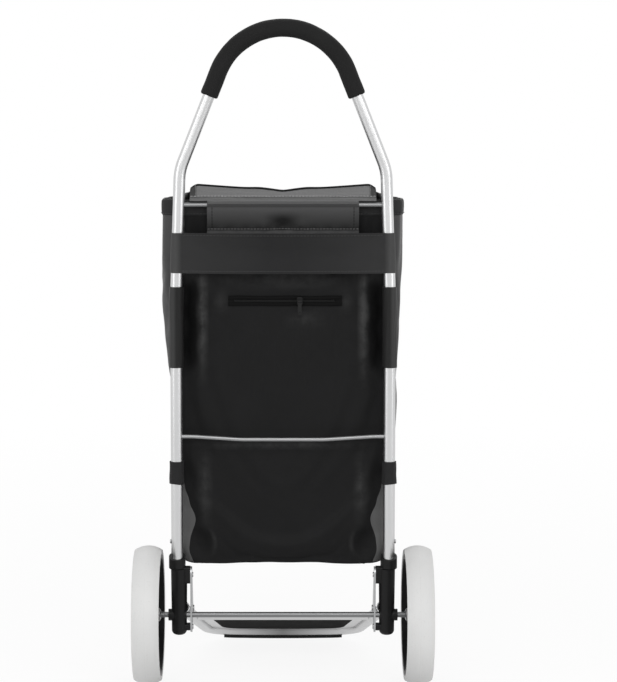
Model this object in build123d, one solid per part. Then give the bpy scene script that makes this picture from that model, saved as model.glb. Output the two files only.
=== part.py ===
from build123d import *
import os
from math import asin, cos, degrees, radians, sin, sqrt, tan

# A two-wheeled shopping trolley: tube frame with an arch handle, a fabric bag hung on it,
# two wheels on one axle and a front foot that folds up.
# Millimetres. X runs across (right is +), Y runs forward from the handle side to the bag, Z is up.
# The ground is Z = 0 and the origin lies below the middle of the whole object.

# Wheels and axle
WHEEL_RADIUS = 100.0
TYRE_WIDTH = 39.0
TYRE_BEAD_RADIUS = 88.0
TYRE_SHOULDER_RADIUS = 94.0
TYRE_BEAD_WIDTH = 38.0
WHEEL_TRACK = 390.0
WHEEL_GAP = 10.7
AXLE_DIAMETER = 8.0
HUB_BOSS_RADIUS = 15.0
HUB_INNER_LENGTH = 14.0
HUB_OUTER_LENGTH = 10.0
RIM_DEPTH = 7.0
WEB_THICKNESS = 8.0
SPOKE_COUNT = 6
SPOKE_WIDTH = 13.0
HUB_DISC_RADIUS = 26.0
SPOKE_RIB_DEPTH = 18.0
SPOKE_RIB_WIDTH = 4.0
WINDOW_CORNER = 5.0
BUSH_RADIUS = 7.0
BUSH_LENGTH = 9.0
BUSH_FLANGE_RADIUS = 9.5
BUSH_FLANGE_THICKNESS = 1.5
PUSH_NUT_RADIUS = 8.5
PUSH_NUT_HEIGHT = 2.5
PUSH_NUT_WALL = 1.0
AXLE_TIP = 1.2
CAP_WALL = 1.6
CAP_SKIRT = 8.0

# Frame tubes
TUBE_DIAMETER = 17.0
TUBE_WALL = 1.5
TUBE_LOWER_Z = 170.0
TUBE_JOINT_Z = 472.0
LEAN_START_Z = 553.0
LEAN_ANGLE = 1.87
SHOULDER_Z = 742.7
SHOULDER_RADIUS = 75.0
TAPER_ANGLE = 21.7
ARCH_RADIUS = 98.5
LEAN_RADIUS = 400.0
FERRULE_LENGTH = 64.0
FERRULE_WALL = 2.0
GRIP_DIAMETER = 26.0
GRIP_TAIL = 36.7
GRIP_END_ROUND = 2.5
ROD_DIAMETER = 6.0
ROD_INSERTION = 2.5
TOP_ROD_Z = 693.5
MID_ROD_Z = 361.0
MID_ROD_BOW = 9.0
MID_ROD_DROP = 3.0
MID_ROD_END = 16.0
MID_ROD_FLAT = 120.0
MID_ROD_BEND = 110.0
RIVET_Z = 208.0
RIVET_HEAD_RADIUS = 3.2
RIVET_HEAD_HEIGHT = 1.8
RIVET_HEAD_ROUND = 1.4
RIVET_SHANK_RADIUS = 1.6
RIVET_SHANK_LENGTH = 7.0

# Lower brackets and side plates
BRACKET_BELOW_AXLE = 29.0
BRACKET_BOTTOM_RADIUS = 10.8
BRACKET_TOP_RADIUS = 11.8
BRACKET_END_ROUND = 7.0
POST_INSET = 2.6
SPIGOT_TOP_Z = 224.0
COLLAR_RADIUS = 12.0
COLLAR_BOTTOM_Z = 168.0
COLLAR_REAR_Z = 181.5
COLLAR_FRONT_Z = 190.5
COLLAR_EDGE = 1.2
AXLE_BOSS_RADIUS = 8.5
AXLE_BOSS_REACH = 13.0
LUG_HALF_WIDTH = 7.5
UPPER_LUG_Z = (147.0, 171.0)
LOWER_LUG_Z = (78.0, 87.0)
LUG_EDGE = 2.0
PLATE_INSET = 21.4
PLATE_THICKNESS = 2.5
PLATE_TOP_ROUND = 9.0
PLATE_LOW_ROUND = 8.0
CHEEK_THICKNESS = 4.5
CHEEK_ROUND = 11.0
PLATE_RIVET_RADIUS = 1.8
PLATE_RIVET_LENGTH = 9.0
PLATE_RIVET_HEAD_RADIUS = 3.6
PLATE_RIVET_HEAD = 1.6

# Folding foot
PIVOT_AHEAD = 28.0
PIVOT_Z = 103.0
PIN_DIAMETER = 6.0
PIN_HEAD_RADIUS = 5.0
PIN_HEAD_HEIGHT = 1.8
FOOT_TUBE_DIAMETER = 18.0
FOOT_TUBE_WALL = 1.5
FOOT_LENGTH = 258.5
FOOT_TAIL = 12.0
FOOT_ARM_INSET = 8.2
FOOT_STRAIGHT = 16.0
FOOT_TOE_IN = 7.5
FOOT_TOE_RADIUS = 60.0
FOOT_CORNER_RADIUS = 55.0
FOOT_FRONT_ANGLE = 5.5
FOOT_FRONT_RADIUS = 500.0
CROSS_BAR_DIAMETER = 12.0
CROSS_BAR_WALL = 1.2
CROSS_BAR_AHEAD = 87.0
FOOT_PLATE_THICKNESS = 3.0
FOOT_FLANGE_WIDTH = 16.0
FOOT_FLANGE_THICKNESS = 2.0
FOOT_PLATE_LIP = 5.0
FOOT_PLATE_LIP_THICKNESS = 1.4
PAD_THICKNESS = 4.0
PAD_FLAT = 0.5
PAD_LENGTH = 184.0
PLUG_LENGTH = 22.0

# Bag
BAG_BEHIND_TUBES = 4.5
BAG_BOTTOM_Z = 170.5
BAG_TOP_Z = 701.0
BAG_TOP_OUTSET = 19.7
BAG_TOP_TAPER = 28.0
BAG_TOP_DEPTH = 245.0
BAG_BOTTOM_OUTSET = 7.2
BAG_BOTTOM_TAPER = 10.0
BAG_BOTTOM_DEPTH = 236.0
BAG_TOP_CORNER = 14.0
BAG_BOTTOM_CORNER = 34.0
BAG_WALL = 2.5
BASE_THICKNESS = 3.0
HEM_HEIGHT = 23.0
HEM_THICKNESS = 2.0
FLAP_WIDTH = 216.0
FLAP_BOTTOM_Z = 640.0
FLAP_THICKNESS = 2.0
FLAP_ROUND = 5.0
BAND_Z = (597.0, 654.0)
BAND_THICKNESS = 2.0
BAND_RETURN = 16.0
SLEEVE_Z = (461.0, 577.0)
LOOP_Z = (293.0, 325.0)
SLEEVE_THICKNESS = 1.4
TAB_LENGTH = 24.0
TAB_THICKNESS = 1.6
LID_INSET = 19.8
LID_FRONT_EXTRA = 9.0
LID_HINGE_AHEAD = 24.0
LID_THICKNESS = 3.0
LID_CORNER_RISE = 7.0
LID_SKIRT = 38.0
LID_OVERHANG = 3.0
LID_BEAD_RADIUS = 2.0

# Back pocket zip
ZIP_CENTRE_X = 3.0
ZIP_CENTRE_Z = 555.5
ZIP_LENGTH = 163.0
ZIP_HEIGHT = 14.4
ZIP_THICKNESS = 1.5
ZIP_TEETH_HEIGHT = 4.0
ZIP_TEETH_THICKNESS = 0.8
ZIP_CORNER = 2.0
SLIDER_X = 24.0
SLIDER_WIDTH = 8.0
SLIDER_HEIGHT = 11.0
SLIDER_THICKNESS = 1.8
SLIDER_POST = 1.2
BRIDGE_RADIUS = 0.9
BRIDGE_STAND_OFF = 2.9
KNUCKLE_RADIUS = 2.2
PULL_WIDTH = 6.0
PULL_LENGTH = 20.0
PULL_THICKNESS = 1.5
PULL_HOLE_RADIUS = 1.3

# Clearances
FIT = 0.1
RUNNING_FIT = 0.05
CLEAR = 0.3
END_PLAY = 0.4
CLOTH_CLEAR = 0.8

# Worked out from the sizes above
TUBE_RADIUS = TUBE_DIAMETER / 2
ROD_RADIUS = ROD_DIAMETER / 2
AXLE_RADIUS = AXLE_DIAMETER / 2
PIN_RADIUS = PIN_DIAMETER / 2
WHEEL_X = WHEEL_TRACK / 2
TUBE_X = WHEEL_X - TYRE_WIDTH / 2 - WHEEL_GAP - COLLAR_RADIUS
PLATE_X = TUBE_X - PLATE_INSET
FOOT_ARM_X = TUBE_X - FOOT_ARM_INSET
BAG_TOP_HALF = TUBE_X + BAG_TOP_OUTSET
BAG_BOTTOM_HALF = TUBE_X + BAG_BOTTOM_OUTSET
LID_REAR_HALF = TUBE_X - LID_INSET
LID_FRONT_HALF = LID_REAR_HALF + LID_FRONT_EXTRA
FOOT_TUBE_RADIUS = FOOT_TUBE_DIAMETER / 2
CROSS_BAR_RADIUS = CROSS_BAR_DIAMETER / 2
PAD_RADIUS = FOOT_TUBE_RADIUS + PAD_THICKNESS
FOOT_SLOPE = degrees(asin((PIVOT_Z - PAD_RADIUS + PAD_FLAT) / FOOT_LENGTH))
PAD_TOP = FOOT_PLATE_THICKNESS / 2 + FIT
PAD_FRONT = sqrt(PAD_RADIUS**2 - PAD_TOP**2)
FRONT_ALONG = FOOT_LENGTH + PAD_FRONT
FRONT_REACH = PIVOT_AHEAD + FRONT_ALONG * cos(radians(FOOT_SLOPE)) - PAD_TOP * sin(radians(FOOT_SLOPE))
AXLE_Y = (WHEEL_RADIUS - FRONT_REACH) / 2
PIVOT_Y = AXLE_Y + PIVOT_AHEAD
BACK_Y = AXLE_Y + TUBE_RADIUS + BAG_BEHIND_TUBES
PLATE_OUTER_X = PLATE_X + PLATE_THICKNESS
CHEEK_X = FOOT_ARM_X + FOOT_TUBE_RADIUS + CLEAR
LID_AXIS_Z = BAG_TOP_Z + CLEAR + LID_BEAD_RADIUS
LID_AXIS_Y = AXLE_Y + LID_HINGE_AHEAD


def export(node, shape):
    export_step(shape, f"parts/{node}.step")


def mirrored(shape):
    return mirror(shape, about=Plane.YZ)


def pair(shape):
    """One group of a shape and its mirror image."""
    return Compound([*shape.solids(), *mirrored(shape).solids()])


def rod_x(radius, x0, x1, y, z):
    """A round bar along X."""
    return Pos((x0 + x1) / 2, y, z) * Rot(0, 90, 0) * Cylinder(radius, x1 - x0)


def block(x0, x1, y0, y1, z0, z1):
    return Pos((x0 + x1) / 2, (y0 + y1) / 2, (z0 + z1) / 2) * Box(x1 - x0, y1 - y0, z1 - z0)


def along(path, radius):
    """A solid bar of one radius along a path."""
    return sweep(Plane(origin=path @ 0, z_dir=path % 0) * Circle(radius), path=path)


def turned(outline):
    """A solid of revolution about X from an outline of (x, radius) points."""
    return revolve(Plane.XZ * make_face(outline), axis=Axis.X)


def leg_x(z):
    """Centre of the leaning part of the right handle leg at a height."""
    return TUBE_X - (z - LEAN_START_Z) * tan(radians(LEAN_ANGLE))


def arch_vertex():
    """Where the two slanting shoulders of the handle would meet."""
    return 0, AXLE_Y, SHOULDER_Z + leg_x(SHOULDER_Z) / tan(radians(TAPER_ANGLE))


def both_sides(points):
    """A list of points on the right and its mirror image in reverse order."""
    return points, [(-x, *rest) for x, *rest in reversed(points)]


# Handle tube, grip and uprights


def handle_path():
    joint = (TUBE_X, AXLE_Y, TUBE_JOINT_Z)
    lean = (TUBE_X, AXLE_Y, LEAN_START_Z)
    shoulder = (leg_x(SHOULDER_Z), AXLE_Y, SHOULDER_Z)
    right, left = both_sides([joint, lean, shoulder])
    radii = [LEAN_RADIUS, SHOULDER_RADIUS, ARCH_RADIUS, SHOULDER_RADIUS, LEAN_RADIUS]
    return FilletPolyline(*right, arch_vertex(), *left, radius=radii)


def grip_path():
    reach = ARCH_RADIUS / tan(radians(TAPER_ANGLE)) + GRIP_TAIL
    end_z = arch_vertex()[2] - reach * cos(radians(TAPER_ANGLE))
    right, left = both_sides([(reach * sin(radians(TAPER_ANGLE)), AXLE_Y, end_z)])
    return FilletPolyline(*right, arch_vertex(), *left, radius=[ARCH_RADIUS])


def rod_hole(x, z):
    """Cuts the holes in both tubes for the end of a cross rod."""
    return rod_x(ROD_RADIUS + FIT, -x, x, AXLE_Y, z)


def handle_tube():
    path = handle_path()
    tube = along(path, TUBE_RADIUS) - along(path, TUBE_RADIUS - TUBE_WALL)
    return tube - rod_hole(leg_x(TOP_ROD_Z), TOP_ROD_Z)


def handle_grip():
    path = grip_path()
    radius = GRIP_DIAMETER / 2
    foam = along(path, radius)
    rims = foam.edges().filter_by(GeomType.CIRCLE).filter_by(lambda edge: abs(edge.radius - radius) < FIT)
    ends = rims.sort_by(Axis.Z)[:2]
    return fillet(ends, GRIP_END_ROUND) - along(path, TUBE_RADIUS + RUNNING_FIT)


def upright():
    length = TUBE_JOINT_Z - TUBE_LOWER_Z
    middle = Pos(TUBE_X, AXLE_Y, (TUBE_JOINT_Z + TUBE_LOWER_Z) / 2)
    tube = middle * (Cylinder(TUBE_RADIUS, length) - Cylinder(TUBE_RADIUS - TUBE_WALL, length))
    tube -= rod_hole(TUBE_X, MID_ROD_Z)
    return tube - rod_x(RIVET_SHANK_RADIUS + FIT, TUBE_X, TUBE_X + TUBE_RADIUS, AXLE_Y, RIVET_Z)


def ferrule():
    outer = TUBE_RADIUS - TUBE_WALL - FIT
    ring = Cylinder(outer, FERRULE_LENGTH) - Cylinder(outer - FERRULE_WALL, FERRULE_LENGTH)
    return Pos(TUBE_X, AXLE_Y, TUBE_JOINT_Z) * ring


def top_rod():
    half = leg_x(TOP_ROD_Z) - TUBE_RADIUS + ROD_INSERTION
    return rod_x(ROD_RADIUS, -half, half, AXLE_Y, TOP_ROD_Z)


def mid_rod():
    half = TUBE_X - TUBE_RADIUS + ROD_INSERTION
    bowed = (AXLE_Y - MID_ROD_BOW, MID_ROD_Z - MID_ROD_DROP)
    end = (half, AXLE_Y, MID_ROD_Z)
    straight = (half - MID_ROD_END, AXLE_Y, MID_ROD_Z)
    right, left = both_sides([end, straight, (MID_ROD_FLAT / 2, *bowed)])
    return along(FilletPolyline(*right, *left, radius=MID_ROD_BEND), ROD_RADIUS)


def tube_rivet():
    """A round-headed rivet through the right upright into the bracket's spigot."""
    face_x = TUBE_X + TUBE_RADIUS
    head = rod_x(RIVET_HEAD_RADIUS, face_x, face_x + RIVET_HEAD_HEIGHT, AXLE_Y, RIVET_Z)
    head = fillet(head.edges().filter_by(GeomType.CIRCLE).sort_by(Axis.X)[-1], RIVET_HEAD_ROUND)
    return head + rod_x(RIVET_SHANK_RADIUS, face_x - RIVET_SHANK_LENGTH, face_x + FIT, AXLE_Y, RIVET_Z)


# Brackets, side plates and axle


def plate_rivet(lug_z, extra=0.0):
    """A rivet from the inner side of the right side plate into a lug."""
    z = sum(lug_z) / 2
    end = PLATE_OUTER_X + PLATE_RIVET_LENGTH
    shank = rod_x(PLATE_RIVET_RADIUS + extra, PLATE_X - FIT, end + extra, AXLE_Y, z)
    return shank + rod_x(PLATE_RIVET_HEAD_RADIUS, PLATE_X - PLATE_RIVET_HEAD, PLATE_X, AXLE_Y, z)


def lug(z_range):
    solid = block(PLATE_OUTER_X, TUBE_X, AXLE_Y - LUG_HALF_WIDTH, AXLE_Y + LUG_HALF_WIDTH, *z_range)
    return fillet(solid.edges().filter_by(Axis.X), LUG_EDGE)


def spigot():
    """The peg of the right bracket that fills the foot of the tube, bored for its rivet."""
    height = SPIGOT_TOP_Z - COLLAR_BOTTOM_Z
    peg = Cylinder(TUBE_RADIUS - TUBE_WALL - FIT, height)
    peg = Pos(TUBE_X, AXLE_Y, COLLAR_BOTTOM_Z + height / 2) * peg
    depth = RIVET_SHANK_LENGTH + FIT - TUBE_RADIUS
    return peg - rod_x(RIVET_SHANK_RADIUS + FIT, TUBE_X - depth, TUBE_X + TUBE_RADIUS, AXLE_Y, RIVET_Z)


def bracket():
    """The right bracket: offset post, slanted collar, tube peg, axle boss, lugs and pivot cheek."""
    bottom = WHEEL_RADIUS - BRACKET_BELOW_AXLE
    height = COLLAR_BOTTOM_Z - bottom
    post = Cone(BRACKET_BOTTOM_RADIUS, BRACKET_TOP_RADIUS, height)
    post = Pos(TUBE_X - POST_INSET, AXLE_Y, bottom + height / 2) * post
    post = fillet(post.edges().sort_by(Axis.Z)[0], BRACKET_END_ROUND)
    collar_height = COLLAR_FRONT_Z - COLLAR_BOTTOM_Z
    collar = Cylinder(COLLAR_RADIUS, collar_height)
    collar = Pos(TUBE_X, AXLE_Y, COLLAR_BOTTOM_Z + collar_height / 2) * collar
    collar = chamfer(collar.edges().sort_by(Axis.Z)[0], COLLAR_EDGE)
    slant = Plane(
        origin=(TUBE_X, AXLE_Y, (COLLAR_REAR_Z + COLLAR_FRONT_Z) / 2),
        z_dir=(0, COLLAR_REAR_Z - COLLAR_FRONT_Z, 2 * COLLAR_RADIUS),
    )
    collar = split(collar, bisect_by=slant, keep=Keep.BOTTOM)
    boss = rod_x(AXLE_BOSS_RADIUS, TUBE_X - AXLE_BOSS_REACH, TUBE_X + AXLE_BOSS_REACH, AXLE_Y, WHEEL_RADIUS)
    solid = post + collar + boss + lug(UPPER_LUG_Z) + lug(LOWER_LUG_Z) + cheek()
    socket_height = COLLAR_FRONT_Z - TUBE_LOWER_Z + 2 * CLEAR
    socket = Cylinder(TUBE_RADIUS + FIT, socket_height)
    solid -= Pos(TUBE_X, AXLE_Y, TUBE_LOWER_Z - CLEAR + socket_height / 2) * socket
    solid += spigot()
    solid -= rod_x(AXLE_RADIUS + FIT, PLATE_X, WHEEL_X, AXLE_Y, WHEEL_RADIUS)
    solid -= foot_pin(RUNNING_FIT)
    for lug_z in (UPPER_LUG_Z, LOWER_LUG_Z):
        solid -= plate_rivet(lug_z, FIT)
    return solid


def cheek():
    """The bracket's forward ear outside the foot arm, rounded about the pivot."""
    outer = CHEEK_X + CHEEK_THICKNESS
    ear = rod_x(CHEEK_ROUND, CHEEK_X, outer, PIVOT_Y, PIVOT_Z)
    return ear + block(CHEEK_X, outer, AXLE_Y, PIVOT_Y, PIVOT_Z - CHEEK_ROUND, PIVOT_Z + CHEEK_ROUND)


def side_plate():
    """The right side plate: a rounded triangle that carries the axle and the pivot pin."""
    top_z = UPPER_LUG_Z[1] - PLATE_TOP_ROUND
    low_z = sum(LOWER_LUG_Z) / 2
    with BuildSketch(Plane.YZ) as outline:
        with Locations((AXLE_Y, top_z)):
            Circle(PLATE_TOP_ROUND)
        with Locations((AXLE_Y, low_z)):
            Circle(PLATE_LOW_ROUND)
        with Locations((PIVOT_Y, PIVOT_Z)):
            Circle(CHEEK_ROUND)
        make_hull()
    plate = Pos(PLATE_X, 0, 0) * extrude(outline.sketch, PLATE_THICKNESS)
    plate -= rod_x(AXLE_RADIUS + FIT, PLATE_X, PLATE_OUTER_X, AXLE_Y, WHEEL_RADIUS)
    plate -= foot_pin(RUNNING_FIT)
    for lug_z in (UPPER_LUG_Z, LOWER_LUG_Z):
        plate -= plate_rivet(lug_z, FIT)
    return plate


def axle():
    half = WHEEL_X + HUB_OUTER_LENGTH + BUSH_FLANGE_THICKNESS + END_PLAY + PUSH_NUT_HEIGHT + AXLE_TIP
    bar = rod_x(AXLE_RADIUS, -half, half, AXLE_Y, WHEEL_RADIUS)
    return chamfer(bar.edges().filter_by(GeomType.CIRCLE), AXLE_TIP / 2)


def push_nut(x, outward):
    """A dished spring ring that bites on the axle, its rim towards the hub."""
    x1 = x + outward * PUSH_NUT_WALL
    x2 = x + outward * PUSH_NUT_HEIGHT
    bore = AXLE_RADIUS + RUNNING_FIT
    lip = bore + PUSH_NUT_WALL
    outline = Polyline(
        (x, PUSH_NUT_RADIUS), (x1, PUSH_NUT_RADIUS), (x2, lip), (x2, bore), (x1, bore), (x, lip), close=True
    )
    return Pos(0, AXLE_Y, WHEEL_RADIUS) * turned(outline)


def axle_push_nuts():
    seat = BUSH_FLANGE_THICKNESS + END_PLAY
    outer = push_nut(WHEEL_X + HUB_OUTER_LENGTH + seat, 1)
    inner = push_nut(WHEEL_X - HUB_INNER_LENGTH - seat, -1)
    return Compound([*pair(outer).solids(), *pair(inner).solids()])


# Wheels, modelled about X at the wheel's centre with the outer side towards +X


def tyre():
    half = TYRE_WIDTH / 2
    bead = TYRE_BEAD_WIDTH / 2
    crown = ThreePointArc((half, TYRE_SHOULDER_RADIUS), (0, WHEEL_RADIUS), (-half, TYRE_SHOULDER_RADIUS))
    sides = Polyline(
        (-half, TYRE_SHOULDER_RADIUS),
        (-bead, TYRE_BEAD_RADIUS),
        (bead, TYRE_BEAD_RADIUS),
        (half, TYRE_SHOULDER_RADIUS),
    )
    return turned(Curve() + [crown, sides])


def rim_windows():
    """The openings between the spokes."""
    outer = TYRE_BEAD_RADIUS - RIM_DEPTH
    face = Circle(outer) - Circle(HUB_DISC_RADIUS)
    face -= PolarLocations(0, SPOKE_COUNT) * (Pos(outer / 2, 0) * Rectangle(2 * outer, SPOKE_WIDTH))
    return extrude(fillet(face.vertices(), WINDOW_CORNER), TYRE_WIDTH, both=True)


def hub():
    rim_half = TYRE_BEAD_WIDTH / 2
    seat = TYRE_BEAD_RADIUS - FIT
    ring = Cylinder(seat, 2 * rim_half) - Cylinder(seat - RIM_DEPTH, 2 * rim_half)
    web = Cylinder(seat - RIM_DEPTH / 2, WEB_THICKNESS) - rim_windows()
    ribs = PolarLocations(0, SPOKE_COUNT) * (
        Pos((seat - RIM_DEPTH / 2) / 2, 0, 0) * Box(seat - RIM_DEPTH / 2, SPOKE_RIB_WIDTH, SPOKE_RIB_DEPTH)
    )
    length = HUB_INNER_LENGTH + HUB_OUTER_LENGTH
    boss = Pos(0, 0, (HUB_OUTER_LENGTH - HUB_INNER_LENGTH) / 2) * Cylinder(HUB_BOSS_RADIUS, length)
    bore = Cylinder(BUSH_RADIUS + RUNNING_FIT, TYRE_WIDTH)
    return Rot(0, 90, 0) * (ring + web + ribs + boss - bore)


def bush(x, inward):
    """A flanged bush; its sleeve runs into the hub."""
    bore = AXLE_RADIUS + RUNNING_FIT
    flange_x = x - inward * BUSH_FLANGE_THICKNESS
    sleeve_x = x + inward * BUSH_LENGTH
    outline = Polyline(
        (flange_x, bore),
        (sleeve_x, bore),
        (sleeve_x, BUSH_RADIUS),
        (x, BUSH_RADIUS),
        (x, BUSH_FLANGE_RADIUS),
        (flange_x, BUSH_FLANGE_RADIUS),
        close=True,
    )
    return turned(outline)


def bushes():
    return Compound([*bush(HUB_OUTER_LENGTH, -1).solids(), *bush(-HUB_INNER_LENGTH, 1).solids()])


def hub_cap():
    """A snap-on cup over the hub's outer end."""
    inner = HUB_BOSS_RADIUS + RUNNING_FIT
    outer = inner + CAP_WALL
    roof = HUB_OUTER_LENGTH + BUSH_FLANGE_THICKNESS + END_PLAY + PUSH_NUT_HEIGHT + AXLE_TIP + CLEAR
    start = HUB_OUTER_LENGTH - CAP_SKIRT + WEB_THICKNESS / 2
    outline = Polyline(
        (start, inner),
        (start, outer),
        (HUB_OUTER_LENGTH, outer),
        (roof + CAP_WALL, inner - CAP_WALL),
        (roof + CAP_WALL, 0),
        (roof, 0),
        (roof, inner - 2 * CAP_WALL),
        (HUB_OUTER_LENGTH, inner),
        close=True,
    )
    ribs = PolarLocations(0, SPOKE_COUNT) * (
        Pos(SPOKE_WIDTH, 0, 0) * Box(2 * SPOKE_WIDTH, SPOKE_RIB_WIDTH + 2 * FIT, SPOKE_RIB_DEPTH + 2 * FIT)
    )
    return turned(outline) - [Rot(0, 90, 0) * rib for rib in ribs]


def write_wheel(side, sign):
    place = Pos(sign * WHEEL_X, AXLE_Y, WHEEL_RADIUS)
    for name, shape in (("tyre", tyre()), ("hub", hub()), ("bushes", bushes()), ("hub_cap", hub_cap())):
        right_way = shape if sign > 0 else mirrored(shape)
        export(f"{side}_{name}", place * right_way)


# Foot, modelled flat with its pivot at the origin and its arms along +Y


def foot_place():
    return Pos(0, PIVOT_Y, PIVOT_Z) * Rot(-FOOT_SLOPE, 0, 0)


def foot_front_vertex():
    """Where the two gently raked halves of the front bar would meet."""
    return FOOT_LENGTH + FOOT_FRONT_RADIUS * (1 / cos(radians(FOOT_FRONT_ANGLE)) - 1)


def foot_corner():
    """Where an arm's centre line meets the front bar's."""
    toe = tan(radians(FOOT_TOE_IN))
    rake = tan(radians(FOOT_FRONT_ANGLE))
    x = (FOOT_ARM_X - (foot_front_vertex() - FOOT_STRAIGHT) * toe) / (1 - toe * rake)
    return x, foot_front_vertex() - x * rake


def foot_path():
    right, left = both_sides([(FOOT_ARM_X, -FOOT_TAIL), (FOOT_ARM_X, FOOT_STRAIGHT), foot_corner()])
    radii = [FOOT_TOE_RADIUS, FOOT_CORNER_RADIUS, FOOT_FRONT_RADIUS, FOOT_CORNER_RADIUS, FOOT_TOE_RADIUS]
    return FilletPolyline(*right, (0, foot_front_vertex()), *left, radius=radii)


def foot_tube():
    path = foot_path()
    tube = along(path, FOOT_TUBE_RADIUS) - along(path, FOOT_TUBE_RADIUS - FOOT_TUBE_WALL)
    return tube - rod_x(PIN_RADIUS + RUNNING_FIT, -2 * FOOT_ARM_X, 2 * FOOT_ARM_X, 0, 0)


def foot_cross_bar():
    bar = rod_x(CROSS_BAR_RADIUS, -FOOT_ARM_X, FOOT_ARM_X, CROSS_BAR_AHEAD, 0)
    bar -= rod_x(CROSS_BAR_RADIUS - CROSS_BAR_WALL, -FOOT_ARM_X, FOOT_ARM_X, CROSS_BAR_AHEAD, 0)
    return (bar - along(foot_path(), FOOT_TUBE_RADIUS + FIT)).solids().sort_by(SortBy.VOLUME)[-1]


def foot_inside(inset):
    """The area inside the U of the foot, drawn in from its centre line."""
    path = foot_path()
    return offset(make_face(path + Line(path @ 1, path @ 0)), -inset)


def foot_flange():
    """A flat metal border welded inside the tube, from the cross bar round the front."""
    hole = extrude(foot_inside(FOOT_TUBE_RADIUS + FOOT_FLANGE_WIDTH), FOOT_FLANGE_THICKNESS, both=True)
    sheet = extrude(foot_inside(0), FOOT_FLANGE_THICKNESS / 2, both=True) - hole
    return ahead_of_bar(sheet) - along(foot_path(), FOOT_TUBE_RADIUS + FIT)


def ahead_of_bar(solid):
    """What lies ahead of the cross bar, clear of it."""
    solid -= block(-FOOT_ARM_X, FOOT_ARM_X, -FOOT_LENGTH, CROSS_BAR_AHEAD, -FOOT_LENGTH, FOOT_LENGTH)
    return solid - rod_x(CROSS_BAR_RADIUS + FIT, -FOOT_ARM_X, FOOT_ARM_X, CROSS_BAR_AHEAD, 0)


def foot_plate():
    """The dark panel in the border, with a lip that lies on it."""
    border = FOOT_TUBE_RADIUS + FOOT_FLANGE_WIDTH
    panel = extrude(foot_inside(border + FIT), FOOT_PLATE_THICKNESS / 2, both=True)
    lip = extrude(foot_inside(border - FOOT_PLATE_LIP), FOOT_PLATE_LIP_THICKNESS)
    return ahead_of_bar(panel + Pos(0, 0, FOOT_FLANGE_THICKNESS / 2 + FIT) * lip)


def foot_pad():
    """A shoe on the front and underside of the front bar, cut flat where it meets the ground."""
    path = foot_path()
    shoe = along(path, PAD_RADIUS) - along(path, FOOT_TUBE_RADIUS + FIT)
    shoe -= extrude(foot_inside(0), FOOT_LENGTH, both=True)
    front = block(-PAD_LENGTH / 2, PAD_LENGTH / 2, FOOT_LENGTH / 2, 2 * FOOT_LENGTH, -FOOT_LENGTH, -PAD_TOP)
    shoe = foot_place() * (shoe & front)
    return shoe - block(-TUBE_X, TUBE_X, -FOOT_LENGTH, 2 * FOOT_LENGTH, -PAD_RADIUS, 0)


def foot_arm_plug():
    radius = FOOT_TUBE_RADIUS - FOOT_TUBE_WALL - FIT
    body = Pos(0, PLUG_LENGTH / 2 - FOOT_TAIL, 0) * Rot(90, 0, 0) * Cylinder(radius, PLUG_LENGTH)
    plug = Pos(FOOT_ARM_X, 0, 0) * body
    return plug - rod_x(PIN_RADIUS + RUNNING_FIT, 0, 2 * FOOT_ARM_X, 0, 0)


def foot_pin(extra=0.0):
    """The right pivot pin, through the cheek, the arm and the side plate."""
    outer = CHEEK_X + CHEEK_THICKNESS
    shank = rod_x(PIN_RADIUS + extra, PLATE_X - PIN_HEAD_HEIGHT, outer, PIVOT_Y, PIVOT_Z)
    if extra:
        return shank
    head = rod_x(PIN_HEAD_RADIUS, outer, outer + PIN_HEAD_HEIGHT, PIVOT_Y, PIVOT_Z)
    tail = rod_x(PIN_HEAD_RADIUS, PLATE_X - PIN_HEAD_HEIGHT, PLATE_X, PIVOT_Y, PIVOT_Z)
    return shank + head + tail


# Bag, sewn from panels


def bag_section(z, grow):
    """The bag's outline at a height, narrower at the front, moved outwards by grow."""
    share = (z - BAG_BOTTOM_Z) / (BAG_TOP_Z - BAG_BOTTOM_Z)
    half = BAG_BOTTOM_HALF + share * (BAG_TOP_HALF - BAG_BOTTOM_HALF)
    taper = BAG_BOTTOM_TAPER + share * (BAG_TOP_TAPER - BAG_BOTTOM_TAPER)
    depth = BAG_BOTTOM_DEPTH + share * (BAG_TOP_DEPTH - BAG_BOTTOM_DEPTH)
    corner = BAG_BOTTOM_CORNER + share * (BAG_TOP_CORNER - BAG_BOTTOM_CORNER)
    right, left = both_sides([(half, 0), (half - taper, depth)])
    outline = FilletPolyline(*right, *left, close=True, radius=corner)
    return Pos(0, BACK_Y, z) * offset(make_face(outline), grow)


def bag_tube(z0, z1, inner, outer):
    """A ring of bag wall between two heights and two offsets."""
    skin = loft([bag_section(z0, outer), bag_section(z1, outer)], ruled=True)
    return skin - loft([bag_section(z0, inner), bag_section(z1, inner)], ruled=True)


def bag_panels():
    """The four wall panels, cut apart at the seams beside the flat back and front."""
    wall = bag_tube(BAG_BOTTOM_Z + BASE_THICKNESS, BAG_TOP_Z, -BAG_WALL, 0)
    seam = BAG_BOTTOM_HALF - BAG_BOTTOM_CORNER
    middle_y = BACK_Y + BAG_BOTTOM_DEPTH / 2
    far = BAG_TOP_HALF + BAG_TOP_DEPTH
    rear = block(-seam, seam, middle_y - far, middle_y, 0, far + BAG_TOP_Z)
    front = block(-seam, seam, middle_y, middle_y + far, 0, far + BAG_TOP_Z)
    side = block(seam, far, middle_y - far, middle_y + far, 0, far + BAG_TOP_Z)
    return {
        "bag_back_panel": wall & rear,
        "bag_front_panel": wall & front,
        "bag_right_gusset": wall & side,
        "bag_left_gusset": wall & mirrored(side),
    }


def bag_base():
    return extrude(bag_section(BAG_BOTTOM_Z, 0), BASE_THICKNESS)


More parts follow.
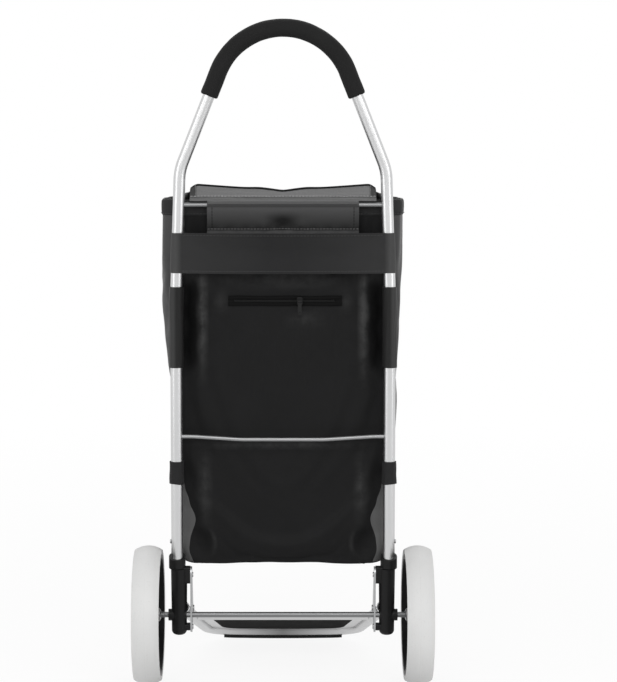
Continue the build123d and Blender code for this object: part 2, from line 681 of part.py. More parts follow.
def bag_rim_hem():
    return bag_tube(BAG_TOP_Z - HEM_HEIGHT, BAG_TOP_Z, CLEAR, CLEAR + HEM_THICKNESS)


def strip(points, radius, thickness, x0, x1):
    """A bent strip of cloth: a path of (y, z) points, given thickness and width along X."""
    path = FilletPolyline(*points, radius=radius)
    return extrude(Plane.YZ.offset(x0) * trace(path, thickness), x1 - x0)


def hanger_flap():
    """The loop over the top rod, carried forward to the lid's seam."""
    stand_off = ROD_RADIUS + CLEAR + FLAP_THICKNESS / 2
    front = LID_AXIS_Y - LID_BEAD_RADIUS - CLEAR
    points = [
        (AXLE_Y - stand_off, FLAP_BOTTOM_Z),
        (AXLE_Y - stand_off, TOP_ROD_Z + stand_off),
        (BACK_Y - HEM_THICKNESS - CLOTH_CLEAR, LID_AXIS_Z),
        (front, LID_AXIS_Z),
    ]
    return strip(points, FLAP_ROUND, FLAP_THICKNESS, -FLAP_WIDTH / 2, FLAP_WIDTH / 2)


def back_band():
    """A flat loop round both legs, open at the front between its sewn returns."""
    z0, z1 = BAND_Z
    tube_x = leg_x((z0 + z1) / 2)
    inner = TUBE_RADIUS + (z1 - z0) / 2 * tan(radians(LEAN_ANGLE)) + CLEAR
    outer = inner + BAND_THICKNESS
    ring = SlotCenterToCenter(2 * tube_x, 2 * outer) - SlotCenterToCenter(2 * tube_x, 2 * inner)
    gap = Pos(0, outer) * Rectangle(2 * (tube_x - BAND_RETURN), 2 * outer)
    return Pos(0, AXLE_Y, z0) * extrude(ring - gap, z1 - z0)


def cloth_sleeve(z_range):
    """A sleeve round the right tube, leaning with it, with a tab sewn to the back panel."""
    z0, z1 = z_range
    shift = TUBE_X - min(TUBE_X, leg_x(z1))
    inner = TUBE_RADIUS + shift / 2 + CLEAR
    outer = inner + SLEEVE_THICKNESS
    ring = Circle(outer)
    tab_y = BACK_Y - AXLE_Y - CLEAR
    tab = Pos(-TAB_LENGTH / 2, tab_y - TAB_THICKNESS / 2) * Rectangle(TAB_LENGTH, TAB_THICKNESS)
    bridge = Rectangle(2 * TAB_THICKNESS, TAB_THICKNESS + tab_y - outer)
    section = ring + tab + Pos(0, (outer + tab_y) / 2 - TAB_THICKNESS / 2) * bridge - Circle(inner)
    lean = (-shift, 0, z1 - z0)
    return Pos(TUBE_X, AXLE_Y, z0) * extrude(section, Vector(*lean).length, dir=lean)


# Back pocket zip
ZIP_CENTRE_X = 3.0
ZIP_CENTRE_Z = 555.5
ZIP_LENGTH = 163.0
ZIP_HEIGHT = 14.4
ZIP_THICKNESS = 1.5
ZIP_TEETH_HEIGHT = 4.0
ZIP_TEETH_THICKNESS = 0.8
ZIP_CORNER = 2.0
SLIDER_X = 24.0
SLIDER_WIDTH = 8.0
SLIDER_HEIGHT = 11.0
SLIDER_THICKNESS = 1.8
SLIDER_POST = 1.2
BRIDGE_RADIUS = 0.9
BRIDGE_STAND_OFF = 2.9
KNUCKLE_RADIUS = 2.2
PULL_WIDTH = 6.0
PULL_LENGTH = 20.0
PULL_THICKNESS = 1.5
PULL_HOLE_RADIUS = 1.3

# Clearances
FIT = 0.1
RUNNING_FIT = 0.05
CLEAR = 0.3
END_PLAY = 0.4
CLOTH_CLEAR = 0.8

# Worked out from the sizes above
TUBE_RADIUS = TUBE_DIAMETER / 2
ROD_RADIUS = ROD_DIAMETER / 2
AXLE_RADIUS = AXLE_DIAMETER / 2
PIN_RADIUS = PIN_DIAMETER / 2
WHEEL_X = WHEEL_TRACK / 2
TUBE_X = WHEEL_X - TYRE_WIDTH / 2 - WHEEL_GAP - COLLAR_RADIUS
PLATE_X = TUBE_X - PLATE_INSET
FOOT_ARM_X = TUBE_X - FOOT_ARM_INSET
BAG_TOP_HALF = TUBE_X + BAG_TOP_OUTSET
BAG_BOTTOM_HALF = TUBE_X + BAG_BOTTOM_OUTSET
LID_REAR_HALF = TUBE_X - LID_INSET
LID_FRONT_HALF = LID_REAR_HALF + LID_FRONT_EXTRA
FOOT_TUBE_RADIUS = FOOT_TUBE_DIAMETER / 2
CROSS_BAR_RADIUS = CROSS_BAR_DIAMETER / 2
PAD_RADIUS = FOOT_TUBE_RADIUS + PAD_THICKNESS
FOOT_SLOPE = degrees(asin((PIVOT_Z - PAD_RADIUS + PAD_FLAT) / FOOT_LENGTH))
PAD_TOP = FOOT_PLATE_THICKNESS / 2 + FIT
PAD_FRONT = sqrt(PAD_RADIUS**2 - PAD_TOP**2)
FRONT_ALONG = FOOT_LENGTH + PAD_FRONT
FRONT_REACH = PIVOT_AHEAD + FRONT_ALONG * cos(radians(FOOT_SLOPE)) - PAD_TOP * sin(radians(FOOT_SLOPE))
AXLE_Y = (WHEEL_RADIUS - FRONT_REACH) / 2
PIVOT_Y = AXLE_Y + PIVOT_AHEAD
BACK_Y = AXLE_Y + TUBE_RADIUS + BAG_BEHIND_TUBES
PLATE_OUTER_X = PLATE_X + PLATE_THICKNESS
CHEEK_X = FOOT_ARM_X + FOOT_TUBE_RADIUS + CLEAR
LID_AXIS_Z = BAG_TOP_Z + CLEAR + LID_BEAD_RADIUS
LID_AXIS_Y = AXLE_Y + LID_HINGE_AHEAD


def export(node, shape):
    export_step(shape, f"parts/{node}.step")


def mirrored(shape):
    return mirror(shape, about=Plane.YZ)


def pair(shape):
    """One group of a shape and its mirror image."""
    return Compound([*shape.solids(), *mirrored(shape).solids()])


def rod_x(radius, x0, x1, y, z):
    """A round bar along X."""
    return Pos((x0 + x1) / 2, y, z) * Rot(0, 90, 0) * Cylinder(radius, x1 - x0)


def block(x0, x1, y0, y1, z0, z1):
    return Pos((x0 + x1) / 2, (y0 + y1) / 2, (z0 + z1) / 2) * Box(x1 - x0, y1 - y0, z1 - z0)


def along(path, radius):
    """A solid bar of one radius along a path."""
    return sweep(Plane(origin=path @ 0, z_dir=path % 0) * Circle(radius), path=path)


def turned(outline):
    """A solid of revolution about X from an outline of (x, radius) points."""
    return revolve(Plane.XZ * make_face(outline), axis=Axis.X)


def leg_x(z):
    """Centre of the leaning part of the right handle leg at a height."""
    return TUBE_X - (z - LEAN_START_Z) * tan(radians(LEAN_ANGLE))


def arch_vertex():
    """Where the two slanting shoulders of the handle would meet."""
    return 0, AXLE_Y, SHOULDER_Z + leg_x(SHOULDER_Z) / tan(radians(TAPER_ANGLE))


def both_sides(points):
    """A list of points on the right and its mirror image in reverse order."""
    return points, [(-x, *rest) for x, *rest in reversed(points)]


# Handle tube, grip and uprights


def handle_path():
    joint = (TUBE_X, AXLE_Y, TUBE_JOINT_Z)
    lean = (TUBE_X, AXLE_Y, LEAN_START_Z)
    shoulder = (leg_x(SHOULDER_Z), AXLE_Y, SHOULDER_Z)
    right, left = both_sides([joint, lean, shoulder])
    radii = [LEAN_RADIUS, SHOULDER_RADIUS, ARCH_RADIUS, SHOULDER_RADIUS, LEAN_RADIUS]
    return FilletPolyline(*right, arch_vertex(), *left, radius=radii)


def grip_path():
    reach = ARCH_RADIUS / tan(radians(TAPER_ANGLE)) + GRIP_TAIL
    end_z = arch_vertex()[2] - reach * cos(radians(TAPER_ANGLE))
    right, left = both_sides([(reach * sin(radians(TAPER_ANGLE)), AXLE_Y, end_z)])
    return FilletPolyline(*right, arch_vertex(), *left, radius=[ARCH_RADIUS])


def rod_hole(x, z):
    """Cuts the holes in both tubes for the end of a cross rod."""
    return rod_x(ROD_RADIUS + FIT, -x, x, AXLE_Y, z)


def handle_tube():
    path = handle_path()
    tube = along(path, TUBE_RADIUS) - along(path, TUBE_RADIUS - TUBE_WALL)
    return tube - rod_hole(leg_x(TOP_ROD_Z), TOP_ROD_Z)


def handle_grip():
    path = grip_path()
    radius = GRIP_DIAMETER / 2
    foam = along(path, radius)
    rims = foam.edges().filter_by(GeomType.CIRCLE).filter_by(lambda edge: abs(edge.radius - radius) < FIT)
    ends = rims.sort_by(Axis.Z)[:2]
    return fillet(ends, GRIP_END_ROUND) - along(path, TUBE_RADIUS + RUNNING_FIT)


def upright():
    length = TUBE_JOINT_Z - TUBE_LOWER_Z
    middle = Pos(TUBE_X, AXLE_Y, (TUBE_JOINT_Z + TUBE_LOWER_Z) / 2)
    tube = middle * (Cylinder(TUBE_RADIUS, length) - Cylinder(TUBE_RADIUS - TUBE_WALL, length))
    tube -= rod_hole(TUBE_X, MID_ROD_Z)
    return tube - rod_x(RIVET_SHANK_RADIUS + FIT, TUBE_X, TUBE_X + TUBE_RADIUS, AXLE_Y, RIVET_Z)


def ferrule():
    outer = TUBE_RADIUS - TUBE_WALL - FIT
    ring = Cylinder(outer, FERRULE_LENGTH) - Cylinder(outer - FERRULE_WALL, FERRULE_LENGTH)
    return Pos(TUBE_X, AXLE_Y, TUBE_JOINT_Z) * ring


def top_rod():
    half = leg_x(TOP_ROD_Z) - TUBE_RADIUS + ROD_INSERTION
    return rod_x(ROD_RADIUS, -half, half, AXLE_Y, TOP_ROD_Z)


def mid_rod():
    half = TUBE_X - TUBE_RADIUS + ROD_INSERTION
    bowed = (AXLE_Y - MID_ROD_BOW, MID_ROD_Z - MID_ROD_DROP)
    end = (half, AXLE_Y, MID_ROD_Z)
    straight = (half - MID_ROD_END, AXLE_Y, MID_ROD_Z)
    right, left = both_sides([end, straight, (MID_ROD_FLAT / 2, *bowed)])
    return along(FilletPolyline(*right, *left, radius=MID_ROD_BEND), ROD_RADIUS)


def tube_rivet():
    """A round-headed rivet through the right upright into the bracket's spigot."""
    face_x = TUBE_X + TUBE_RADIUS
    head = rod_x(RIVET_HEAD_RADIUS, face_x, face_x + RIVET_HEAD_HEIGHT, AXLE_Y, RIVET_Z)
    head = fillet(head.edges().filter_by(GeomType.CIRCLE).sort_by(Axis.X)[-1], RIVET_HEAD_ROUND)
    return head + rod_x(RIVET_SHANK_RADIUS, face_x - RIVET_SHANK_LENGTH, face_x + FIT, AXLE_Y, RIVET_Z)


# Brackets, side plates and axle


def plate_rivet(lug_z, extra=0.0):
    """A rivet from the inner side of the right side plate into a lug."""
    z = sum(lug_z) / 2
    end = PLATE_OUTER_X + PLATE_RIVET_LENGTH
    shank = rod_x(PLATE_RIVET_RADIUS + extra, PLATE_X - FIT, end + extra, AXLE_Y, z)
    return shank + rod_x(PLATE_RIVET_HEAD_RADIUS, PLATE_X - PLATE_RIVET_HEAD, PLATE_X, AXLE_Y, z)


def lug(z_range):
    solid = block(PLATE_OUTER_X, TUBE_X, AXLE_Y - LUG_HALF_WIDTH, AXLE_Y + LUG_HALF_WIDTH, *z_range)
    return fillet(solid.edges().filter_by(Axis.X), LUG_EDGE)


def spigot():
    """The peg of the right bracket that fills the foot of the tube, bored for its rivet."""
    height = SPIGOT_TOP_Z - COLLAR_BOTTOM_Z
    peg = Cylinder(TUBE_RADIUS - TUBE_WALL - FIT, height)
    peg = Pos(TUBE_X, AXLE_Y, COLLAR_BOTTOM_Z + height / 2) * peg
    depth = RIVET_SHANK_LENGTH + FIT - TUBE_RADIUS
    return peg - rod_x(RIVET_SHANK_RADIUS + FIT, TUBE_X - depth, TUBE_X + TUBE_RADIUS, AXLE_Y, RIVET_Z)


def bracket():
    """The right bracket: offset post, slanted collar, tube peg, axle boss, lugs and pivot cheek."""
    bottom = WHEEL_RADIUS - BRACKET_BELOW_AXLE
    height = COLLAR_BOTTOM_Z - bottom
    post = Cone(BRACKET_BOTTOM_RADIUS, BRACKET_TOP_RADIUS, height)
    post = Pos(TUBE_X - POST_INSET, AXLE_Y, bottom + height / 2) * post
    post = fillet(post.edges().sort_by(Axis.Z)[0], BRACKET_END_ROUND)
    collar_height = COLLAR_FRONT_Z - COLLAR_BOTTOM_Z
    collar = Cylinder(COLLAR_RADIUS, collar_height)
    collar = Pos(TUBE_X, AXLE_Y, COLLAR_BOTTOM_Z + collar_height / 2) * collar
    collar = chamfer(collar.edges().sort_by(Axis.Z)[0], COLLAR_EDGE)
    slant = Plane(
        origin=(TUBE_X, AXLE_Y, (COLLAR_REAR_Z + COLLAR_FRONT_Z) / 2),
        z_dir=(0, COLLAR_REAR_Z - COLLAR_FRONT_Z, 2 * COLLAR_RADIUS),
    )
    collar = split(collar, bisect_by=slant, keep=Keep.BOTTOM)
    boss = rod_x(AXLE_BOSS_RADIUS, TUBE_X - AXLE_BOSS_REACH, TUBE_X + AXLE_BOSS_REACH, AXLE_Y, WHEEL_RADIUS)
    solid = post + collar + boss + lug(UPPER_LUG_Z) + lug(LOWER_LUG_Z) + cheek()
    socket_height = COLLAR_FRONT_Z - TUBE_LOWER_Z + 2 * CLEAR
    socket = Cylinder(TUBE_RADIUS + FIT, socket_height)
    solid -= Pos(TUBE_X, AXLE_Y, TUBE_LOWER_Z - CLEAR + socket_height / 2) * socket
    solid += spigot()
    solid -= rod_x(AXLE_RADIUS + FIT, PLATE_X, WHEEL_X, AXLE_Y, WHEEL_RADIUS)
    solid -= foot_pin(RUNNING_FIT)
    for lug_z in (UPPER_LUG_Z, LOWER_LUG_Z):
        solid -= plate_rivet(lug_z, FIT)
    return solid


def cheek():
    """The bracket's forward ear outside the foot arm, rounded about the pivot."""
    outer = CHEEK_X + CHEEK_THICKNESS
    ear = rod_x(CHEEK_ROUND, CHEEK_X, outer, PIVOT_Y, PIVOT_Z)
    return ear + block(CHEEK_X, outer, AXLE_Y, PIVOT_Y, PIVOT_Z - CHEEK_ROUND, PIVOT_Z + CHEEK_ROUND)


def side_plate():
    """The right side plate: a rounded triangle that carries the axle and the pivot pin."""
    top_z = UPPER_LUG_Z[1] - PLATE_TOP_ROUND
    low_z = sum(LOWER_LUG_Z) / 2
    with BuildSketch(Plane.YZ) as outline:
        with Locations((AXLE_Y, top_z)):
            Circle(PLATE_TOP_ROUND)
        with Locations((AXLE_Y, low_z)):
            Circle(PLATE_LOW_ROUND)
        with Locations((PIVOT_Y, PIVOT_Z)):
            Circle(CHEEK_ROUND)
        make_hull()
    plate = Pos(PLATE_X, 0, 0) * extrude(outline.sketch, PLATE_THICKNESS)
    plate -= rod_x(AXLE_RADIUS + FIT, PLATE_X, PLATE_OUTER_X, AXLE_Y, WHEEL_RADIUS)
    plate -= foot_pin(RUNNING_FIT)
    for lug_z in (UPPER_LUG_Z, LOWER_LUG_Z):
        plate -= plate_rivet(lug_z, FIT)
    return plate


def axle():
    half = WHEEL_X + HUB_OUTER_LENGTH + BUSH_FLANGE_THICKNESS + END_PLAY + PUSH_NUT_HEIGHT + AXLE_TIP
    bar = rod_x(AXLE_RADIUS, -half, half, AXLE_Y, WHEEL_RADIUS)
    return chamfer(bar.edges().filter_by(GeomType.CIRCLE), AXLE_TIP / 2)


def push_nut(x, outward):
    """A dished spring ring that bites on the axle, its rim towards the hub."""
    x1 = x + outward * PUSH_NUT_WALL
    x2 = x + outward * PUSH_NUT_HEIGHT
    bore = AXLE_RADIUS + RUNNING_FIT
    lip = bore + PUSH_NUT_WALL
    outline = Polyline(
        (x, PUSH_NUT_RADIUS), (x1, PUSH_NUT_RADIUS), (x2, lip), (x2, bore), (x1, bore), (x, lip), close=True
    )
    return Pos(0, AXLE_Y, WHEEL_RADIUS) * turned(outline)


def axle_push_nuts():
    seat = BUSH_FLANGE_THICKNESS + END_PLAY
    outer = push_nut(WHEEL_X + HUB_OUTER_LENGTH + seat, 1)
    inner = push_nut(WHEEL_X - HUB_INNER_LENGTH - seat, -1)
    return Compound([*pair(outer).solids(), *pair(inner).solids()])


# Wheels, modelled about X at the wheel's centre with the outer side towards +X


def tyre():
    half = TYRE_WIDTH / 2
    bead = TYRE_BEAD_WIDTH / 2
    crown = ThreePointArc((half, TYRE_SHOULDER_RADIUS), (0, WHEEL_RADIUS), (-half, TYRE_SHOULDER_RADIUS))
    sides = Polyline(
        (-half, TYRE_SHOULDER_RADIUS),
        (-bead, TYRE_BEAD_RADIUS),
        (bead, TYRE_BEAD_RADIUS),
        (half, TYRE_SHOULDER_RADIUS),
    )
    return turned(Curve() + [crown, sides])


def rim_windows():
    """The openings between the spokes."""
    outer = TYRE_BEAD_RADIUS - RIM_DEPTH
    face = Circle(outer) - Circle(HUB_DISC_RADIUS)
    face -= PolarLocations(0, SPOKE_COUNT) * (Pos(outer / 2, 0) * Rectangle(2 * outer, SPOKE_WIDTH))
    return extrude(fillet(face.vertices(), WINDOW_CORNER), TYRE_WIDTH, both=True)


def hub():
    rim_half = TYRE_BEAD_WIDTH / 2
    seat = TYRE_BEAD_RADIUS - FIT
    ring = Cylinder(seat, 2 * rim_half) - Cylinder(seat - RIM_DEPTH, 2 * rim_half)
    web = Cylinder(seat - RIM_DEPTH / 2, WEB_THICKNESS) - rim_windows()
    ribs = PolarLocations(0, SPOKE_COUNT) * (
        Pos((seat - RIM_DEPTH / 2) / 2, 0, 0) * Box(seat - RIM_DEPTH / 2, SPOKE_RIB_WIDTH, SPOKE_RIB_DEPTH)
    )
    length = HUB_INNER_LENGTH + HUB_OUTER_LENGTH
    boss = Pos(0, 0, (HUB_OUTER_LENGTH - HUB_INNER_LENGTH) / 2) * Cylinder(HUB_BOSS_RADIUS, length)
    bore = Cylinder(BUSH_RADIUS + RUNNING_FIT, TYRE_WIDTH)
    return Rot(0, 90, 0) * (ring + web + ribs + boss - bore)


def bush(x, inward):
    """A flanged bush; its sleeve runs into the hub."""
    bore = AXLE_RADIUS + RUNNING_FIT
    flange_x = x - inward * BUSH_FLANGE_THICKNESS
    sleeve_x = x + inward * BUSH_LENGTH
    outline = Polyline(
        (flange_x, bore),
        (sleeve_x, bore),
        (sleeve_x, BUSH_RADIUS),
        (x, BUSH_RADIUS),
        (x, BUSH_FLANGE_RADIUS),
        (flange_x, BUSH_FLANGE_RADIUS),
        close=True,
    )
    return turned(outline)


def bushes():
    return Compound([*bush(HUB_OUTER_LENGTH, -1).solids(), *bush(-HUB_INNER_LENGTH, 1).solids()])


def hub_cap():
    """A snap-on cup over the hub's outer end."""
    inner = HUB_BOSS_RADIUS + RUNNING_FIT
    outer = inner + CAP_WALL
    roof = HUB_OUTER_LENGTH + BUSH_FLANGE_THICKNESS + END_PLAY + PUSH_NUT_HEIGHT + AXLE_TIP + CLEAR
    start = HUB_OUTER_LENGTH - CAP_SKIRT + WEB_THICKNESS / 2
    outline = Polyline(
        (start, inner),
        (start, outer),
        (HUB_OUTER_LENGTH, outer),
        (roof + CAP_WALL, inner - CAP_WALL),
        (roof + CAP_WALL, 0),
        (roof, 0),
        (roof, inner - 2 * CAP_WALL),
        (HUB_OUTER_LENGTH, inner),
        close=True,
    )
    ribs = PolarLocations(0, SPOKE_COUNT) * (
        Pos(SPOKE_WIDTH, 0, 0) * Box(2 * SPOKE_WIDTH, SPOKE_RIB_WIDTH + 2 * FIT, SPOKE_RIB_DEPTH + 2 * FIT)
    )
    return turned(outline) - [Rot(0, 90, 0) * rib for rib in ribs]


def write_wheel(side, sign):
    place = Pos(sign * WHEEL_X, AXLE_Y, WHEEL_RADIUS)
    for name, shape in (("tyre", tyre()), ("hub", hub()), ("bushes", bushes()), ("hub_cap", hub_cap())):
        right_way = shape if sign > 0 else mirrored(shape)
        export(f"{side}_{name}", place * right_way)


# Foot, modelled flat with its pivot at the origin and its arms along +Y


def foot_place():
    return Pos(0, PIVOT_Y, PIVOT_Z) * Rot(-FOOT_SLOPE, 0, 0)


def foot_front_vertex():
    """Where the two gently raked halves of the front bar would meet."""
    return FOOT_LENGTH + FOOT_FRONT_RADIUS * (1 / cos(radians(FOOT_FRONT_ANGLE)) - 1)


def foot_corner():
    """Where an arm's centre line meets the front bar's."""
    toe = tan(radians(FOOT_TOE_IN))
    rake = tan(radians(FOOT_FRONT_ANGLE))
    x = (FOOT_ARM_X - (foot_front_vertex() - FOOT_STRAIGHT) * toe) / (1 - toe * rake)
    return x, foot_front_vertex() - x * rake


def foot_path():
    right, left = both_sides([(FOOT_ARM_X, -FOOT_TAIL), (FOOT_ARM_X, FOOT_STRAIGHT), foot_corner()])
    radii = [FOOT_TOE_RADIUS, FOOT_CORNER_RADIUS, FOOT_FRONT_RADIUS, FOOT_CORNER_RADIUS, FOOT_TOE_RADIUS]
    return FilletPolyline(*right, (0, foot_front_vertex()), *left, radius=radii)


def foot_tube():
    path = foot_path()
    tube = along(path, FOOT_TUBE_RADIUS) - along(path, FOOT_TUBE_RADIUS - FOOT_TUBE_WALL)
    return tube - rod_x(PIN_RADIUS + RUNNING_FIT, -2 * FOOT_ARM_X, 2 * FOOT_ARM_X, 0, 0)


def foot_cross_bar():
    bar = rod_x(CROSS_BAR_RADIUS, -FOOT_ARM_X, FOOT_ARM_X, CROSS_BAR_AHEAD, 0)
    bar -= rod_x(CROSS_BAR_RADIUS - CROSS_BAR_WALL, -FOOT_ARM_X, FOOT_ARM_X, CROSS_BAR_AHEAD, 0)
    return (bar - along(foot_path(), FOOT_TUBE_RADIUS + FIT)).solids().sort_by(SortBy.VOLUME)[-1]


def foot_inside(inset):
    """The area inside the U of the foot, drawn in from its centre line."""
    path = foot_path()
    return offset(make_face(path + Line(path @ 1, path @ 0)), -inset)


def foot_flange():
    """A flat metal border welded inside the tube, from the cross bar round the front."""
    hole = extrude(foot_inside(FOOT_TUBE_RADIUS + FOOT_FLANGE_WIDTH), FOOT_FLANGE_THICKNESS, both=True)
    sheet = extrude(foot_inside(0), FOOT_FLANGE_THICKNESS / 2, both=True) - hole
    return ahead_of_bar(sheet) - along(foot_path(), FOOT_TUBE_RADIUS + FIT)


def ahead_of_bar(solid):
    """What lies ahead of the cross bar, clear of it."""
    solid -= block(-FOOT_ARM_X, FOOT_ARM_X, -FOOT_LENGTH, CROSS_BAR_AHEAD, -FOOT_LENGTH, FOOT_LENGTH)
    return solid - rod_x(CROSS_BAR_RADIUS + FIT, -FOOT_ARM_X, FOOT_ARM_X, CROSS_BAR_AHEAD, 0)


def foot_plate():
    """The dark panel in the border, with a lip that lies on it."""
    border = FOOT_TUBE_RADIUS + FOOT_FLANGE_WIDTH
    panel = extrude(foot_inside(border + FIT), FOOT_PLATE_THICKNESS / 2, both=True)
    lip = extrude(foot_inside(border - FOOT_PLATE_LIP), FOOT_PLATE_LIP_THICKNESS)
    return ahead_of_bar(panel + Pos(0, 0, FOOT_FLANGE_THICKNESS / 2 + FIT) * lip)


def foot_pad():
    """A shoe on the front and underside of the front bar, cut flat where it meets the ground."""
    path = foot_path()
    shoe = along(path, PAD_RADIUS) - along(path, FOOT_TUBE_RADIUS + FIT)
    shoe -= extrude(foot_inside(0), FOOT_LENGTH, both=True)
    front = block(-PAD_LENGTH / 2, PAD_LENGTH / 2, FOOT_LENGTH / 2, 2 * FOOT_LENGTH, -FOOT_LENGTH, -PAD_TOP)
    shoe = foot_place() * (shoe & front)
    return shoe - block(-TUBE_X, TUBE_X, -FOOT_LENGTH, 2 * FOOT_LENGTH, -PAD_RADIUS, 0)


def foot_arm_plug():
    radius = FOOT_TUBE_RADIUS - FOOT_TUBE_WALL - FIT
    body = Pos(0, PLUG_LENGTH / 2 - FOOT_TAIL, 0) * Rot(90, 0, 0) * Cylinder(radius, PLUG_LENGTH)
    plug = Pos(FOOT_ARM_X, 0, 0) * body
    return plug - rod_x(PIN_RADIUS + RUNNING_FIT, 0, 2 * FOOT_ARM_X, 0, 0)


def foot_pin(extra=0.0):
    """The right pivot pin, through the cheek, the arm and the side plate."""
    outer = CHEEK_X + CHEEK_THICKNESS
    shank = rod_x(PIN_RADIUS + extra, PLATE_X - PIN_HEAD_HEIGHT, outer, PIVOT_Y, PIVOT_Z)
    if extra:
        return shank
    head = rod_x(PIN_HEAD_RADIUS, outer, outer + PIN_HEAD_HEIGHT, PIVOT_Y, PIVOT_Z)
    tail = rod_x(PIN_HEAD_RADIUS, PLATE_X - PIN_HEAD_HEIGHT, PLATE_X, PIVOT_Y, PIVOT_Z)
    return shank + head + tail


# Bag, sewn from panels


def bag_section(z, grow):
    """The bag's outline at a height, narrower at the front, moved outwards by grow."""
    share = (z - BAG_BOTTOM_Z) / (BAG_TOP_Z - BAG_BOTTOM_Z)
    half = BAG_BOTTOM_HALF + share * (BAG_TOP_HALF - BAG_BOTTOM_HALF)
    taper = BAG_BOTTOM_TAPER + share * (BAG_TOP_TAPER - BAG_BOTTOM_TAPER)
    depth = BAG_BOTTOM_DEPTH + share * (BAG_TOP_DEPTH - BAG_BOTTOM_DEPTH)
    corner = BAG_BOTTOM_CORNER + share * (BAG_TOP_CORNER - BAG_BOTTOM_CORNER)
    right, left = both_sides([(half, 0), (half - taper, depth)])
    outline = FilletPolyline(*right, *left, close=True, radius=corner)
    return Pos(0, BACK_Y, z) * offset(make_face(outline), grow)


def bag_tube(z0, z1, inner, outer):
    """A ring of bag wall between two heights and two offsets."""
    skin = loft([bag_section(z0, outer), bag_section(z1, outer)], ruled=True)
    return skin - loft([bag_section(z0, inner), bag_section(z1, inner)], ruled=True)


def bag_panels():
    """The four wall panels, cut apart at the seams beside the flat back and front."""
    wall = bag_tube(BAG_BOTTOM_Z + BASE_THICKNESS, BAG_TOP_Z, -BAG_WALL, 0)
    seam = BAG_BOTTOM_HALF - BAG_BOTTOM_CORNER
    middle_y = BACK_Y + BAG_BOTTOM_DEPTH / 2
    far = BAG_TOP_HALF + BAG_TOP_DEPTH
    rear = block(-seam, seam, middle_y - far, middle_y, 0, far + BAG_TOP_Z)
    front = block(-seam, seam, middle_y, middle_y + far, 0, far + BAG_TOP_Z)
    side = block(seam, far, middle_y - far, middle_y + far, 0, far + BAG_TOP_Z)
    return {
        "bag_back_panel": wall & rear,
        "bag_front_panel": wall & front,
        "bag_right_gusset": wall & side,
        "bag_left_gusset": wall & mirrored(side),
    }


def bag_base():
    return extrude(bag_section(BAG_BOTTOM_Z, 0), BASE_THICKNESS)


def bag_rim_hem():
    return bag_tube(BAG_TOP_Z - HEM_HEIGHT, BAG_TOP_Z, CLEAR, CLEAR + HEM_THICKNESS)


def strip(points, radius, thickness, x0, x1):
    """A bent strip of cloth: a path of (y, z) points, given thickness and width along X."""
    path = FilletPolyline(*points, radius=radius)
    return extrude(Plane.YZ.offset(x0) * trace(path, thickness), x1 - x0)


def hanger_flap():
    """The loop over the top rod, carried forward to the lid's seam."""
    stand_off = ROD_RADIUS + CLEAR + FLAP_THICKNESS / 2
    front = LID_AXIS_Y - LID_BEAD_RADIUS - CLEAR
    points = [
        (AXLE_Y - stand_off, FLAP_BOTTOM_Z),
        (AXLE_Y - stand_off, TOP_ROD_Z + stand_off),
        (BACK_Y - HEM_THICKNESS - CLOTH_CLEAR, LID_AXIS_Z),
        (front, LID_AXIS_Z),
    ]
    return strip(points, FLAP_ROUND, FLAP_THICKNESS, -FLAP_WIDTH / 2, FLAP_WIDTH / 2)


def back_band():
    """A flat loop round both legs, open at the front between its sewn returns."""
    z0, z1 = BAND_Z
    tube_x = leg_x((z0 + z1) / 2)
    inner = TUBE_RADIUS + (z1 - z0) / 2 * tan(radians(LEAN_ANGLE)) + CLEAR
    outer = inner + BAND_THICKNESS
    ring = SlotCenterToCenter(2 * tube_x, 2 * outer) - SlotCenterToCenter(2 * tube_x, 2 * inner)
    gap = Pos(0, outer) * Rectangle(2 * (tube_x - BAND_RETURN), 2 * outer)
    return Pos(0, AXLE_Y, z0) * extrude(ring - gap, z1 - z0)


def cloth_sleeve(z_range):
    """A sleeve round the right tube with a tab sewn to the back panel."""
    z0, z1 = z_range
    slack = max(0, z1 - LEAN_START_Z) * tan(radians(LEAN_ANGLE))
    inner = TUBE_RADIUS + slack + CLEAR
    outer = inner + SLEEVE_THICKNESS
    ring = Circle(outer)
    tab_y = BACK_Y - AXLE_Y - CLEAR
    tab = Pos(-TAB_LENGTH / 2, tab_y - TAB_THICKNESS / 2) * Rectangle(TAB_LENGTH, TAB_THICKNESS)
    bridge = Rectangle(2 * TAB_THICKNESS, TAB_THICKNESS + tab_y - outer)
    section = ring + tab + Pos(0, (outer + tab_y) / 2 - TAB_THICKNESS / 2) * bridge - Circle(inner)
    return Pos(TUBE_X, AXLE_Y, z0) * extrude(section, z1 - z0)


# Back pocket zip


def pocket_zip():
    """The welt on the back panel with the row of teeth standing out of it."""
    face = BACK_Y - CLEAR
    welt = RectangleRounded(ZIP_LENGTH, ZIP_HEIGHT, ZIP_CORNER)
    teeth = Rectangle(ZIP_LENGTH - ZIP_HEIGHT, ZIP_TEETH_HEIGHT)
    rearwards = Plane(origin=(ZIP_CENTRE_X, face, ZIP_CENTRE_Z), x_dir=(1, 0, 0), z_dir=(0, -1, 0))
    row = extrude(rearwards * teeth, ZIP_THICKNESS + ZIP_TEETH_THICKNESS)
    return extrude(rearwards * welt, ZIP_THICKNESS) + row


def slider_face():
    """The plane that the slider's underside keeps clear of the teeth."""
    return BACK_Y - CLEAR - ZIP_THICKNESS - ZIP_TEETH_THICKNESS - CLEAR


def bridge_place():
    """Centre of the slider's bridge bar as (y, z)."""
    return slider_face() - SLIDER_THICKNESS - BRIDGE_STAND_OFF, ZIP_CENTRE_Z


